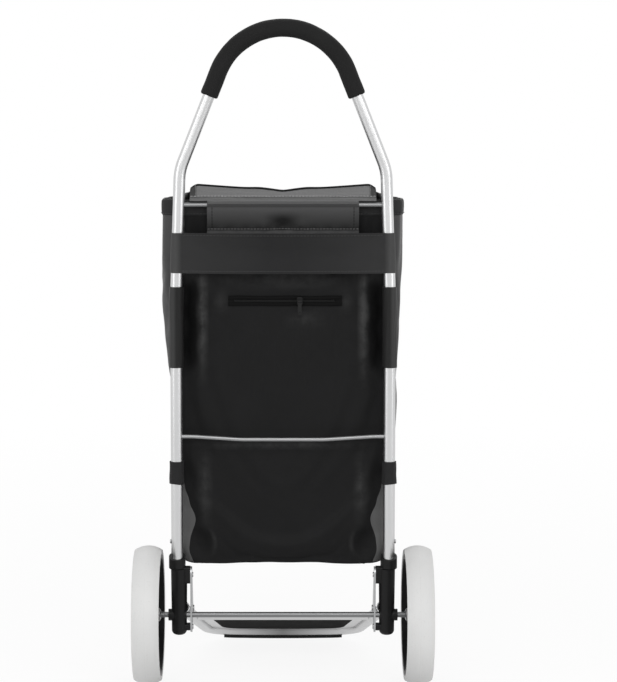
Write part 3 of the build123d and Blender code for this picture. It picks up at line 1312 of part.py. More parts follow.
def zip_slider():
    y, z = bridge_place()
    half = SLIDER_WIDTH / 2
    face = slider_face()
    body = block(-half, half, face - SLIDER_THICKNESS, face, z - SLIDER_HEIGHT / 2, z + SLIDER_HEIGHT / 2)
    body = fillet(body.edges().filter_by(Axis.Y), SLIDER_WIDTH / 4)
    posts = block(-half, half, y - BRIDGE_RADIUS, face - FIT, z - BRIDGE_RADIUS, z + BRIDGE_RADIUS)
    inner = half - SLIDER_POST
    posts -= block(-inner, inner, y - KNUCKLE_RADIUS, face - SLIDER_THICKNESS, 0, 2 * z)
    bar = rod_x(BRIDGE_RADIUS, -half, half, y, z)
    return Pos(SLIDER_X, 0, 0) * (body + posts + bar)


def zip_pull():
    """A tapered tab hung from a rolled knuckle on the slider's bridge."""
    y, z = bridge_place()
    knuckle_half = SLIDER_WIDTH / 2 - SLIDER_POST - CLEAR
    knuckle = rod_x(KNUCKLE_RADIUS, -knuckle_half, knuckle_half, y, z)
    plane = Plane(origin=(0, y + PULL_THICKNESS / 2, z), x_dir=(1, 0, 0), z_dir=(0, -1, 0))
    tab = Polyline(
        (-knuckle_half, 0),
        (knuckle_half, 0),
        (PULL_WIDTH / 2, -PULL_LENGTH),
        (-PULL_WIDTH / 2, -PULL_LENGTH),
        close=True,
    )
    face = make_face(tab)
    face = fillet(face.vertices().sort_by(Axis.Y)[:2], PULL_WIDTH / 4)
    face -= Pos(0, PULL_WIDTH / 2 - PULL_LENGTH) * Circle(PULL_HOLE_RADIUS)
    solid = knuckle + extrude(plane * face, PULL_THICKNESS)
    bore = rod_x(BRIDGE_RADIUS + CLEAR, -SLIDER_WIDTH, SLIDER_WIDTH, y, z)
    return Pos(SLIDER_X, 0, 0) * (solid - bore)


# Lid


def lid_strip(y, half, rise, bottom, top):
    """A cross-section of the lid: a band that sags between its raised edges."""
    low = ThreePointArc((-half, bottom + rise), (0, bottom), (half, bottom + rise))
    high = ThreePointArc((half, top + rise), (0, top), (-half, top + rise))
    outline = Curve() + [low, Line(low @ 1, high @ 0), high, Line(high @ 1, low @ 0)]
    return Plane(origin=(0, y, 0), x_dir=(1, 0, 0), z_dir=(0, -1, 0)) * make_face(outline)


def lid_panel():
    """The top flap with its front skirt and the rolled edge it turns on."""
    bottom = BAG_TOP_Z + CLEAR
    top = bottom + LID_THICKNESS
    rear = LID_AXIS_Y
    front = BACK_Y + BAG_TOP_DEPTH + CLEAR + HEM_THICKNESS + CLOTH_CLEAR
    flat_rise = LID_CORNER_RISE * LID_OVERHANG / (front - rear)
    rear_end = lid_strip(rear, LID_REAR_HALF, flat_rise, bottom, top)
    front_end = lid_strip(front, LID_FRONT_HALF, LID_CORNER_RISE, bottom, top)
    panel = loft([rear_end, front_end], ruled=True)
    skirt_face = lid_strip(front, LID_FRONT_HALF, LID_CORNER_RISE, bottom - LID_SKIRT, top)
    skirt = extrude(skirt_face, -LID_OVERHANG)
    bead = rod_x(LID_BEAD_RADIUS, -LID_REAR_HALF, LID_REAR_HALF, LID_AXIS_Y, LID_AXIS_Z)
    return panel + skirt + bead


os.makedirs("parts", exist_ok=True)
export("handle_tube", handle_tube())
export("handle_grip", handle_grip())
export("right_upright", upright())
export("left_upright", mirrored(upright()))
export("tube_ferrules", pair(ferrule()))
export("top_rod", top_rod())
export("mid_rod", mid_rod())
export("tube_rivets", pair(tube_rivet()))
export("right_bracket", bracket())
export("left_bracket", mirrored(bracket()))
export("right_side_plate", side_plate())
export("left_side_plate", mirrored(side_plate()))
right_rivets = plate_rivet(UPPER_LUG_Z).solids() + plate_rivet(LOWER_LUG_Z).solids()
export("plate_rivets", pair(Compound(right_rivets)))
export("axle", axle())
export("axle_push_nuts", axle_push_nuts())
export("foot_pins", pair(foot_pin()))
write_wheel("right", 1)
write_wheel("left", -1)
export("foot_tube", foot_place() * foot_tube())
export("foot_cross_bar", foot_place() * foot_cross_bar())
export("foot_flange", foot_place() * foot_flange())
export("foot_plate", foot_place() * foot_plate())
export("foot_pad", foot_pad())
export("foot_arm_plugs", foot_place() * pair(foot_arm_plug()))
for node, panel in bag_panels().items():
    export(node, panel)
export("bag_base", bag_base())
export("bag_rim_hem", bag_rim_hem())
export("hanger_flap", hanger_flap())
export("back_band", back_band())
for node, z_range in (("sleeve", SLEEVE_Z), ("loop", LOOP_Z)):
    export(f"right_{node}", cloth_sleeve(z_range))
    export(f"left_{node}", mirrored(cloth_sleeve(z_range)))
export("pocket_zip", pocket_zip())
export("zip_slider", zip_slider())
export("zip_pull", zip_pull())
export("lid_panel", lid_panel())
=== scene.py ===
# %% [markdown]
# # A shopping trolley with a soft bag
# The rigid parts of the trolley, its tubes, wheels and brackets, come from the CAD frame.
# Blender adds what CAD can't show: the sewn cloth of the bag and the finish of every surface.

# %% Load the frame
from math import cos, exp, pi, radians, sin, sqrt

import bpy
from mathutils import Matrix, Vector, noise


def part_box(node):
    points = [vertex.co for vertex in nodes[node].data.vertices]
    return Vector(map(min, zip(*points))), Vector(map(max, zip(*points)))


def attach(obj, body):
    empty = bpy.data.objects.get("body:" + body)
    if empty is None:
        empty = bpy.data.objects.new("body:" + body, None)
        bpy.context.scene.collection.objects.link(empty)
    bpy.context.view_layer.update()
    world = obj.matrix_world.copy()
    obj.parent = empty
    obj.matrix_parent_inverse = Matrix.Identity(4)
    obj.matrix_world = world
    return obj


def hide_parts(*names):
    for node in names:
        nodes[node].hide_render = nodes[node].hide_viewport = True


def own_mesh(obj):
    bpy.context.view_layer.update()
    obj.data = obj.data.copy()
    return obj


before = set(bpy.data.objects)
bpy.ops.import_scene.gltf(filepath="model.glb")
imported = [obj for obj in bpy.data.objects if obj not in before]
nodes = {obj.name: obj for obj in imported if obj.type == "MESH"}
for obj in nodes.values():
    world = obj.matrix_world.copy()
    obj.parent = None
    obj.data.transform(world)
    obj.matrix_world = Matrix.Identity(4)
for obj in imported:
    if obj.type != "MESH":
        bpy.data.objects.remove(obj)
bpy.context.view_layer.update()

# %% [markdown]
# The cloth has to meet the frame exactly, so its measures are read from the CAD nodes.
# Lengths are metres. X runs across, +Y runs forward from the handle to the bag, Z is up.

# %% Measures from the frame
upright_low, upright_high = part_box("right_upright")
TUBE_X = (upright_low.x + upright_high.x) / 2
TUBE_Y = (upright_low.y + upright_high.y) / 2
TUBE_R = (upright_high.x - upright_low.x) / 2
back_low, back_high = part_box("bag_back_panel")
BACK_Y = back_low.y
BAG_TOP = back_high.z
BAG_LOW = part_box("bag_base")[0].z
FRONT_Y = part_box("bag_front_panel")[1].y
rod_low, rod_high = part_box("top_rod")
ROD_Z = (rod_low.z + rod_high.z) / 2
ROD_MID_Z = sum(corner.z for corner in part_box("mid_rod")) / 2
ZIP_Z = sum(corner.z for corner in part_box("pocket_zip")) / 2
ROD_INSERTION = 0.0025
LEAN_Z = 0.553
LEAN = (TUBE_X - (rod_high.x + TUBE_R - ROD_INSERTION)) / (ROD_Z - LEAN_Z)


def tube_at(z):
    """The middle of the right tube at a height: upright at first, then leaning inwards."""
    return TUBE_X - max(0.0, z - LEAN_Z) * LEAN


print("tube", TUBE_X, TUBE_Y, TUBE_R, "leans", round(LEAN, 4), "bag", BACK_Y, FRONT_Y, BAG_LOW, BAG_TOP)

# %% [markdown]
# The picture is taken from behind with a long lens, from a little higher than the bag's rim.
# The trolley stands left of the middle, and a small shift of the lens gives that framing.

# %% Camera
EYE = Vector((0, TUBE_Y - 3.3, 0.870))
EYE_DOWN = 6.414
LENS_MM, SENSOR_MM = 122.57, 36.0
SHIFT_PIXELS, PICTURE_TALL = 25.5, 682
eye_data = bpy.data.cameras.new("eye")
eye_data.lens, eye_data.sensor_width = LENS_MM, SENSOR_MM
eye_data.shift_x = SHIFT_PIXELS / PICTURE_TALL
eye = bpy.data.objects.new("eye", eye_data)
eye.location = EYE
eye.rotation_euler = (radians(90 - EYE_DOWN), 0, 0)
bpy.context.scene.collection.objects.link(eye)
bpy.context.scene.camera = eye
bpy.context.scene.view_settings.view_transform = "Standard"
print("camera at", tuple(EYE))

# %% [markdown]
# Shader sums are easiest to read as Python. This class wraps a node's socket, so that
# arithmetic on it adds Math nodes, and one method adds any other node by its type.


# %% A socket that takes part in arithmetic
class Field:
    def __init__(self, socket):
        self.socket = socket

    def node(self, kind, settings=None, sockets=None, out=0):
        tree = self.socket.id_data
        made = tree.nodes.new(kind)
        for name, value in (settings or {}).items():
            if name == "stops":
                ends = made.color_ramp.elements
                while len(ends) < len(value):
                    ends.new(0.5)
                for stop, (place, shade) in zip(ends, value):
                    stop.position = place
                    stop.color = (shade, shade, shade, 1)
            else:
                setattr(made, name, value)
        for name, value in (sockets or {}).items():
            if isinstance(value, Field):
                tree.links.new(value.socket, made.inputs[name])
            else:
                made.inputs[name].default_value = value
        return Field(made.outputs[out])

    def maths(self, operation, first, second=0.0):
        return self.node("ShaderNodeMath", {"operation": operation}, {0: first, 1: second})

    def __add__(self, other):
        return self.maths("ADD", self, other)

    def __sub__(self, other):
        return self.maths("SUBTRACT", self, other)

    def __rsub__(self, other):
        return self.maths("SUBTRACT", other, self)

    def __mul__(self, other):
        return self.maths("MULTIPLY", self, other)

    def __truediv__(self, other):
        return self.maths("DIVIDE", self, other)

    def __pow__(self, other):
        return self.maths("POWER", self, other)

    __radd__ = __add__
    __rmul__ = __mul__

    def sine(self):
        return self.maths("SINE", self)

    def size(self):
        return self.maths("ABSOLUTE", self)

    def noise(self, scale, detail=2.0, rough=0.5):
        sockets = {"Vector": self, "Scale": scale, "Detail": detail, "Roughness": rough}
        return self.node("ShaderNodeTexNoise", None, sockets)

    def stretched(self, scale, turn=(0, 0, 0)):
        return self.node("ShaderNodeMapping", None, {"Vector": self, "Scale": scale, "Rotation": turn})

    def ramp(self, *stops):
        return self.node("ShaderNodeValToRGB", {"stops": stops}, {"Fac": self})

    def mix(self, low, high):
        ends = [end if isinstance(end, Field) else (*end, 1) for end in (low, high)]
        sockets = {0: self, 6: ends[0], 7: ends[1]}
        return self.node("ShaderNodeMix", {"data_type": "RGBA"}, sockets, out=2)

    def bump(self, height_m, strength=1.0):
        sockets = {"Strength": strength, "Distance": height_m, "Height": self}
        return self.node("ShaderNodeBump", None, sockets)

    def part(self, out):
        return self.node("ShaderNodeSeparateXYZ", None, {"Vector": self}, out=out)


# %% [markdown]
# A finish is a Principled shader. What is the same all over is set on its sockets, and
# what varies is linked to them. Patterns read Object coordinates or the piece's own UV map,
# which is laid out in metres, so that a thread has its true width on every piece.


# %% Making a finish
def new_finish(name, **constants):
    material = bpy.data.materials.new(name)
    material.use_nodes = True
    tree = material.node_tree
    shader = tree.nodes["Principled BSDF"]
    for socket, value in constants.items():
        shader.inputs[socket.replace("_", " ")].default_value = value
    coordinates = tree.nodes.new("ShaderNodeTexCoord")
    return material, Field(coordinates.outputs["Object"]), Field(coordinates.outputs["UV"])


def feed(material, **fields):
    shader = material.node_tree.nodes["Principled BSDF"]
    for socket, field in fields.items():
        material.node_tree.links.new(field.socket, shader.inputs[socket.replace("_", " ")])
    return material


def grey(value):
    return (value, value, value)


def near(distance, reach):
    """A mask that is 1 where a distance is 0 and falls to 0 at a reach."""
    return distance.maths("MAXIMUM", 1 - distance / reach, 0.0)


def rise(value, start, end):
    """A mask that goes from 0 where a value is at its start to 1 at its end."""
    return value.node("ShaderNodeMapRange", None, {0: value, 1: start, 2: end})


def close(value, middle, reach):
    """A mask that is 1 where a value is at its middle and falls to 0 a reach to either side."""
    return near((value - middle).size(), reach)


# %% [markdown]
# The tubes are drawn aluminium with a satin anodised skin. Drawing leaves fine streaks along
# the tube, so the noise is squeezed hard across the tube and hardly at all along it.


# %% Drawn metal
def drawn_metal(name, low, high, rough, squeeze, painted_dark_middle=0.0):
    material, place, _ = new_finish(name, Metallic=1.0, Anisotropic=0.35)
    streaks = place.stretched(squeeze).noise(1.0, 3.0, 0.6)
    cloud = place.noise(9.0, 2.0)
    shade = (streaks * 0.7 + cloud * 0.3).mix(low, high)
    # Painted reflection: the foot bar's middle is darkened, standing in for the dark pad and floor that it
    # reflects.
    if painted_dark_middle:
        shade = (near(place.part(0).size(), 0.105) * painted_dark_middle).mix(shade, grey(0.10))
    roughness = streaks * 0.16 + cloud * 0.08 + (rough - 0.12)
    return feed(material, Base_Color=shade, Roughness=roughness, Normal=streaks.bump(0.00004, 0.35))


ALONG_Z = (700, 700, 5)
ALONG_X = (5, 700, 700)
ALONG_Y = (700, 5, 700)
TUBE_SHADES = ((0.55, 0.552, 0.555), (0.65, 0.652, 0.655))
tube_metal = drawn_metal("satin_tube", *TUBE_SHADES, 0.31, ALONG_Z)
# painted reflection: the foot's bar gets a darker middle
foot_metal = drawn_metal("satin_foot_tube", *TUBE_SHADES, 0.38, ALONG_Y, painted_dark_middle=0.8)
flange_metal = drawn_metal("satin_flange", *TUBE_SHADES, 0.38, ALONG_Y)
bar_metal = drawn_metal("satin_cross_bar", *TUBE_SHADES, 0.36, ALONG_X)
rod_metal = drawn_metal("plated_rod", (0.24, 0.242, 0.245), (0.34, 0.342, 0.345), 0.38, ALONG_X)
# Painted shade: a darker copy of the rod metal, for the top rod and the axle.
shaded_rod_metal = drawn_metal("rod_painted_shade", (0.17, 0.172, 0.175), (0.25, 0.252, 0.255), 0.38, ALONG_X)
plate_metal = drawn_metal("plated_sheet", (0.36, 0.365, 0.37), (0.50, 0.505, 0.51), 0.42, ALONG_Z)
fastener_metal = drawn_metal("plain_fastener", (0.30, 0.30, 0.305), (0.44, 0.44, 0.445), 0.40, ALONG_X)
print("metals made")

# %% [markdown]
# The brackets and hubs are moulded black plastic with a fine spark texture. Scattered scuffs
# go slightly paler, and a slow cloud of roughness keeps the black from looking flat.


# %% Moulded plastic
def moulded_plastic(name, low, high, rough, specular=0.18):
    material, place, _ = new_finish(name, Specular_IOR_Level=specular)
    grain = place.noise(1400.0, 3.0, 0.65)
    cloud = place.noise(28.0, 3.0)
    scuff = (place.noise(160.0, 4.0, 0.7).ramp((0.58, 0.0), (0.72, 1.0))) * 0.35
    shade = (cloud * 0.6 + grain * 0.2 + scuff).mix(low, high)
    roughness = cloud * 0.18 + grain * 0.1 + (rough - 0.14)
    return feed(material, Base_Color=shade, Roughness=roughness, Normal=grain.bump(0.00012, 0.5))


bracket_plastic = moulded_plastic("bracket_plastic", grey(0.005), (0.011, 0.011, 0.0115), 0.46)
hub_plastic = moulded_plastic("hub_plastic", grey(0.0045), (0.010, 0.010, 0.0105), 0.50)
platform_plastic = moulded_plastic("platform_plastic", grey(0.004), grey(0.012), 0.72, 0.03)
plug_plastic = moulded_plastic("plug_plastic", grey(0.16), grey(0.24), 0.50)
bush_plastic = moulded_plastic("bush_plastic", (0.66, 0.65, 0.61), (0.76, 0.75, 0.71), 0.42)
zip_enamel = moulded_plastic("zip_enamel", grey(0.006), grey(0.014), 0.36)
print("plastics made")

# %% [markdown]
# The tyres are pale solid rubber with a matte skin, a faint parting line round the middle of
# the tread, fine pits and a little greying. The grip is closed-cell foam with tiny open pores.

# %% Rubber and foam
tyre_rubber, place, _ = new_finish("tyre_rubber", Specular_IOR_Level=0.32)
wheel_x = (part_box("right_tyre")[0].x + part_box("right_tyre")[1].x) / 2
PARTING_HALF = 0.0012
parting = close(place.part(0).size(), wheel_x, PARTING_HALF)
cloud = place.noise(14.0, 3.0)
pits = place.noise(520.0, 2.0).ramp((0.62, 0.0), (0.70, 1.0))
skin = place.noise(900.0, 3.0, 0.6)
feed(
    tyre_rubber,
    Base_Color=(cloud * 0.7 + pits * 0.4).mix((0.70, 0.70, 0.695), (0.57, 0.57, 0.565)),
    Roughness=cloud * 0.2 + 0.5,
    Normal=(skin + parting).bump(0.0002, 0.5),
)

pad_rubber, place, _ = new_finish("pad_rubber", Specular_IOR_Level=0.3)
cloud = place.noise(40.0, 4.0)
feed(
    pad_rubber,
    Base_Color=cloud.mix(grey(0.010), grey(0.022)),
    Roughness=cloud * 0.2 + 0.6,
    Normal=place.noise(700.0, 2.0).bump(0.0002, 0.5),
)

grip_sheen = {"Sheen_Weight": 0.03, "Sheen_Roughness": 0.5}
grip_foam, place, _ = new_finish("grip_foam", Specular_IOR_Level=0.14, **grip_sheen)
pores = place.noise(950.0, 2.0, 0.7)
cloud = place.noise(24.0, 3.0)
feed(
    grip_foam,
    Base_Color=(cloud * 0.6 + pores * 0.4).mix(grey(0.006), grey(0.016)),
    Roughness=pores * 0.2 + 0.68,
    Normal=pores.bump(0.0005, 0.6),
)
print("rubbers made")

# %% [markdown]
# Painted light and shade: the back panel's cloth is painted paler where its creases, ridges and dish lips
# and the line below the middle rod would catch light, the gussets, sleeves and band are painted paler or
# darker where light and shade fall, and the flap is painted darker downwards, in its dent and at its fold.
# Those places are known, so each is a mask.

# %% Where the cloth is painted lighter or darker
DISH_X, DISH_Z, DISH_FLAT = 0.119, 0.203, 0.72
# Painted highlights: each row is a place where the back panel is painted paler, standing in for light
# caught by its creases and ridges.
HIGHLIGHT_PLACES = [
    # place across and its reach, height and its reach, strength
    (0.1160, 0.0105, 0.532, 0.105, 1.5),  # the creases beside the sleeves
    (0.0, 0.150, ROD_MID_Z - 0.0125, 0.008, 0.9),  # the middle rod's line
    (0.0, 0.170, 0.597, 0.030, 0.7),  # along the band's lower edge
    (0.090, 0.014, ZIP_Z, 0.020, 0.4),  # beside the zip's ends
    (0.1125, 0.012, 0.284, 0.064, 0.75),  # the ridges lower down
]


def back_painted_highlights(place):
    """Painted highlights: the places listed above, a paler smudge below the slider and the lips of the
    dishes at the corners.
    """
    across, up = place.part(0), place.part(2)
    side = across.size()
    marks = close(across, 0.031, 0.034) * close(up, ZIP_Z - 0.026, 0.016) * 0.4
    for middle, reach, height, tall, strength in HIGHLIGHT_PLACES:
        marks = marks + close(side, middle, reach) * close(up, height, tall) * strength
    away = ((side - DISH_X) ** 2 + ((up - DISH_Z) * DISH_FLAT) ** 2) ** 0.5
    lip = close(away, 0.0203, 0.0046) * rise(side, 0.116, 0.102) * close(up, 0.206, 0.024)
    patches = place.noise(55.0, 4.0, 0.65).ramp((0.34, 0.25), (0.62, 1.0))
    rear = rise(place.part(1), BACK_Y + 0.05, BACK_Y + 0.04)
    return (marks + lip * 0.7) * patches * rear


def gusset_painted_light(place):
    """Painted light: a gusset is paler near its lower rear corner."""
    return rise(place.part(2), 0.36, 0.26) * rise(place.part(1), BACK_Y + 0.10, BACK_Y + 0.02)


def sleeve_painted_light_and_shade(place):
    """Painted light and shade: a sleeve is pale on its outer side, where light falls, and dark on its inner
    side, in shade.
    """
    out = place.part(0).size() - TUBE_X
    return rise(out, -0.0100, -0.0058) * 0.28 + rise(out, -0.0005, 0.0035) * 0.64


def band_painted_highlights(place):
    """Painted highlights: the band is paler towards the tubes, and palest on the bends round them."""
    side = place.part(0).size()
    return rise(side, 0.1440, 0.1525) * 0.72 + rise(side, 0.02, 0.14) * 0.22


def flap_painted_shade(place):
    """Painted shade: the flap is darker downwards, in its dent and where it comes out from the fold."""
    side, up = place.part(0).size(), place.part(2)
    low = rise(up, 0.6870, 0.6610)
    dent = near(side, 0.028) * rise(up, 0.6860, 0.6740) * 0.55
    turn = close(up, 0.6920, 0.0026) * 0.6
    return (low + dent + turn) * rise(up, 0.6560, 0.6600)


# %% [markdown]
# The cloth is a coated plain weave: threads about a millimetre wide pass over and under one
# another, which is close to the product of two sine waves along the warp and the weft.
# The coating dulls the threads in clouds, and a soft sheen lightens cloth seen at a slant.

# %% Woven cloth
THREAD = 0.0011
SLUB_RUNS = ((60, 1800, 1), (1800, 60, 1))


def woven_cloth(name, low, high, blue, rough, sheen, specular, painted_shading=None, painted_shading_grey=0.0):
    """A weave between a low and a high grey, with another grey painted on as light and shade."""
    constants = {"Sheen_Weight": sheen, "Sheen_Roughness": 0.45, "Specular_IOR_Level": specular}
    material, place, uv = new_finish(name, **constants)
    warp = (uv.part(0) * (2 * pi / THREAD)).sine()
    weft = (uv.part(1) * (2 * pi / THREAD)).sine()
    weave = warp * weft * 0.5 + 0.5
    cloud = place.noise(13.0, 4.0, 0.6)
    along_warp, along_weft = (uv.stretched(run).noise(1.0, 2.0) * 0.5 for run in SLUB_RUNS)
    slub = along_warp + along_weft
    shade = (cloud * 0.5 + slub * 0.3 + weave * 0.2).mix(grey(low), (high, high, blue))
    # Painted light and shade: the mask paints the weave lighter or darker where light and shade would fall.
    if painted_shading:
        shade = painted_shading(place).mix(shade, grey(painted_shading_grey))
    roughness = cloud * 0.18 + weave * 0.08 + (rough - 0.12)
    height = weave * 0.7 + slub * 0.3
    return feed(material, Base_Color=shade, Roughness=roughness, Normal=height.bump(0.00018, 0.55))


CLOTHS = {
    # low grey, high grey and its blue, roughness, sheen, specular, places of painted light and shade and
    # their grey
    "bag_cloth": (0.0075, 0.0155, 0.016, 0.50, 0.02, 0.05, back_painted_highlights, 0.042),
    # painted light: the gusset cloth is a lighter copy of the bag's black cloth
    "gusset_cloth": (0.027, 0.052, 0.053, 0.46, 0.08, 0.26, gusset_painted_light, 0.082),
    "hem_cloth": (0.017, 0.032, 0.033, 0.52, 0.03, 0.07),
    "lid_cloth": (0.026, 0.046, 0.047, 0.62, 0.05, 0.14),
    # painted light: the flap's cloth is a lighter copy of the black cloth, standing in for light from above
    "flap_cloth": (0.046, 0.066, 0.067, 0.54, 0.03, 0.07, flap_painted_shade, 0.017),
    "band_cloth": (0.012, 0.025, 0.026, 0.52, 0.03, 0.06, band_painted_highlights, 0.060),
    "border_cloth": (0.010, 0.018, 0.018, 0.72, 0.0, 0.04),
    "sleeve_cloth": (0.006, 0.012, 0.012, 0.52, 0.03, 0.06, sleeve_painted_light_and_shade, 0.047),
    "loop_cloth": (0.013, 0.027, 0.028, 0.52, 0.03, 0.06),
    # painted light: the fold and the strip are lighter copies of the lid's cloth
    "fold_cloth": (0.070, 0.095, 0.096, 0.60, 0.05, 0.12),
    "strip_cloth": (0.044, 0.070, 0.071, 0.60, 0.05, 0.16),
    "zip_tape": (0.004, 0.008, 0.008, 0.60, 0.0, 0.03),
    "sewing_thread": (0.030, 0.050, 0.050, 0.5, 0.04, 0.2),
    # painted highlights: these two threads are pale greys standing in for the sheen on the black thread
    "thread_painted_highlight": (0.12, 0.18, 0.18, 0.5, 0.04, 0.2),
    "hinge_thread_painted_highlight": (0.45, 0.60, 0.60, 0.5, 0.04, 0.2),
}
cloths = {name: woven_cloth(name, *row) for name, row in CLOTHS.items()}
print("cloths made", len(cloths))

# %% [markdown]
# Each CAD node that stays visible gets its finish by node name. The soft nodes are replaced
# later, so they are left out here.

# %% Dress the rigid parts
DRESS = {
    tube_metal: ["handle_tube", "left_upright", "right_upright", "tube_ferrules"],
    foot_metal: ["foot_tube"],
    flange_metal: ["foot_flange"],
    bar_metal: ["foot_cross_bar"],
    rod_metal: ["mid_rod"],
    shaded_rod_metal: ["top_rod", "axle"],
    plate_metal: ["left_side_plate", "right_side_plate"],
    fastener_metal: ["tube_rivets", "plate_rivets", "axle_push_nuts", "foot_pins"],
    bracket_plastic: ["left_bracket", "right_bracket"],
    platform_plastic: ["foot_plate"],
    plug_plastic: ["foot_arm_plugs"],
    hub_plastic: ["left_hub", "right_hub", "left_hub_cap", "right_hub_cap"],
    bush_plastic: ["left_bushes", "right_bushes"],
    tyre_rubber: ["left_tyre", "right_tyre"],
    pad_rubber: ["foot_pad"],
    zip_enamel: ["zip_slider", "zip_pull"],
}
for material, names in DRESS.items():
    for name in names:
        slots = nodes[name].data.materials
        slots.clear()
        slots.append(material)
print("dressed", sum(len(names) for names in DRESS.values()), "nodes")

# %% [markdown]
# Small helpers: one adds an object made of points and faces, one makes an object the only one
# selected, since Blender's operators work on that, and two run operators on it.


# %% Objects and operators
def add_object(name, points, faces, finish=None):
    mesh = bpy.data.meshes.new(name)
    mesh.from_pydata([tuple(p) for p in points], [], faces)
    if finish:
        mesh.materials.append(finish)
    made = bpy.data.objects.new(name, mesh)
    bpy.context.scene.collection.objects.link(made)
    return made


def pick(thing):
    bpy.ops.object.select_all(action="DESELECT")
    bpy.context.view_layer.objects.active = thing
    thing.select_set(True)


def apply(*names):
    for name in names:
        bpy.ops.object.modifier_apply(modifier=name)


def on_whole_mesh(operator, **settings):
    bpy.ops.object.mode_set(mode="EDIT")
    bpy.ops.mesh.select_all(action="SELECT")
    operator(**settings)
    bpy.ops.object.mode_set(mode="OBJECT")


# %% [markdown]
# The bag is sewn from a back, a front, two side gussets and a base. All of them share one
# lofted shell, so their seams meet: at each height the shell has a closed outline that starts
# at the left rear seam and runs round by the right, the front and the left. The half widths of
# the outline change with height, because the bag is pulled in where the tubes hold it.

# %% The bag's outline
RIM_Z = 0.701
REAR_HALF = [
    (BAG_LOW, 0.150), (0.20, 0.156), (0.30, 0.159), (0.42, 0.1605), (0.465, 0.1642),
    (0.51, 0.1682), (0.56, 0.1728), (0.61, 0.1758), (RIM_Z, 0.1736),
]
RIGHT_EXTRA = [(0.375, 0.0), (0.425, 0.0050), (0.468, 0.0), (0.605, -0.0050), (RIM_Z, -0.0014)]
SEAM_HALF = [
    (BAG_LOW, 0.129), (0.192, 0.1362), (0.204, 0.1350), (0.237, 0.1268),
    (0.262, 0.1357), (0.285, 0.1425), (0.31, 0.1475), (RIM_Z, 0.148),
]
FRONT_HALF = [(BAG_LOW, 0.150), (0.40, 0.152), (RIM_Z, 0.1435)]
DEPTH = [(BAG_LOW, FRONT_Y - BACK_Y - 0.009), (RIM_Z, FRONT_Y - BACK_Y)]
FRONT_SEAM_IN = 0.016
CORNER = 0.030


def ease(share):
    share = min(1.0, max(0.0, share))
    return share * share * (3 - 2 * share)


def along(knots, z):
    """A value between knots of (height, value), eased from one to the next."""
    for (z0, a), (z1, b) in zip(knots, knots[1:]):
        if z <= z1:
            return a + (b - a) * ease((z - z0) / (z1 - z0))
    return knots[-1][1]


def hill(value, middle, width):
    return exp(-(((value - middle) / width) ** 2))


def window(z, low, high, soft):
    return ease((z - low) / soft + 0.5) * ease((high - z) / soft + 0.5)


# %% [markdown]
# Where the back panel stands proud of its flat place, or is drawn in. It bellies out between
# the tubes above and below the middle rod, has a soft upright ridge near each sleeve with a
# hollow outside it, and is pinched near the lower corners, with a round dish below the pinch.

# %% The back panel's swell
def swell(x, z):
    """How far the back panel stands towards the camera at a place, in metres."""
    side = abs(x)
    middle = max(0.0, 1 - (side / 0.132) ** 2)
    upper = 0.0050 * window(z, 0.385, 0.515, 0.07) * middle
    lower = 0.0095 * ease((z - 0.175) / 0.06) * ease((0.352 - z) / 0.030) * middle**0.7
    waved = side + 0.0022 * sin(z * 125)
    ridge = 0.0100 * hill(waved, 0.112, 0.012) * window(z, 0.45, 0.61, 0.05)
    hollow = 0.0220 * ease((waved - 0.120) / 0.019) * window(z, 0.450, 0.605, 0.04)
    trough = 0.0060 * ease((side - 0.122) / 0.018) * window(z, 0.20, 0.46, 0.05)
    pinch = 0.0090 * ease((side - 0.104) / 0.028) * hill(z, 0.236, 0.022)
    reach = sqrt((side - DISH_X) ** 2 + (DISH_FLAT * (z - DISH_Z)) ** 2)
    dish = 0.0080 * (1 - ease((reach - 0.006) / 0.013))
    lip = 0.0016 * hill(reach, 0.0215, 0.0045) * ease((0.120 - side) / 0.01)
    return upper + lower + ridge + lip - hollow - trough - pinch - dish


# %% [markdown]
# The gussets hang in upright folds that start at the hem and die out towards the middle of the
# bag, with a slack crease down their middle. A little slow noise makes each fold its own.

# %% The gussets' folds
def gusset_fold(share, z, side):
    """How far a gusset stands out at a share of its way from the rear to the front seam."""
    tall = BAG_TOP - BAG_LOW
    high = (z - BAG_LOW) / tall
    free = sin(pi * share) ** 0.6
    fine = 0.0026 * sin(2 * pi * (9 * share + 0.6 * sin(5 * high) + 0.2 * side)) * ease((high - 0.45) / 0.4)
    slack = -0.010 * hill(share, 0.52, 0.20) * window(high, 0.25, 1.1, 0.5)
    belly = 0.006 * hill(high, 0.22, 0.2) * hill(share, 0.5, 0.35)
    rough = 0.0025 * noise.noise(Vector((share * 4 + 10 * side, high * 5, 3.7)))
    return free * (fine + slack + belly + rough)


# %% [markdown]
# The outline at one height is drawn as a dense line first, then walked in equal steps, so that
# the cloth's threads keep an even width round the corners.

# %% Points round the bag
BACK_COLUMNS = 54
GUSSET_COLUMNS = 34
ROWS = 88
AROUND = 2 * (BACK_COLUMNS + GUSSET_COLUMNS)


def bend(start, corner, end, steps=12):
    for step in range(steps):
        t = step / steps
        yield start * (1 - t) ** 2 + corner * 2 * t * (1 - t) + end * t * t


def walk(line, count):
    """The points of a line at equal steps, without its last."""
    lengths = [(b - a).length for a, b in zip(line, line[1:])]
    total = sum(lengths)
    points, passed, k = [], 0.0, 0
    for step in range(count):
        goal = total * step / count
        while passed + lengths[k] < goal:
            passed += lengths[k]
            k += 1
        points.append(line[k].lerp(line[k + 1], (goal - passed) / lengths[k]))
    return points


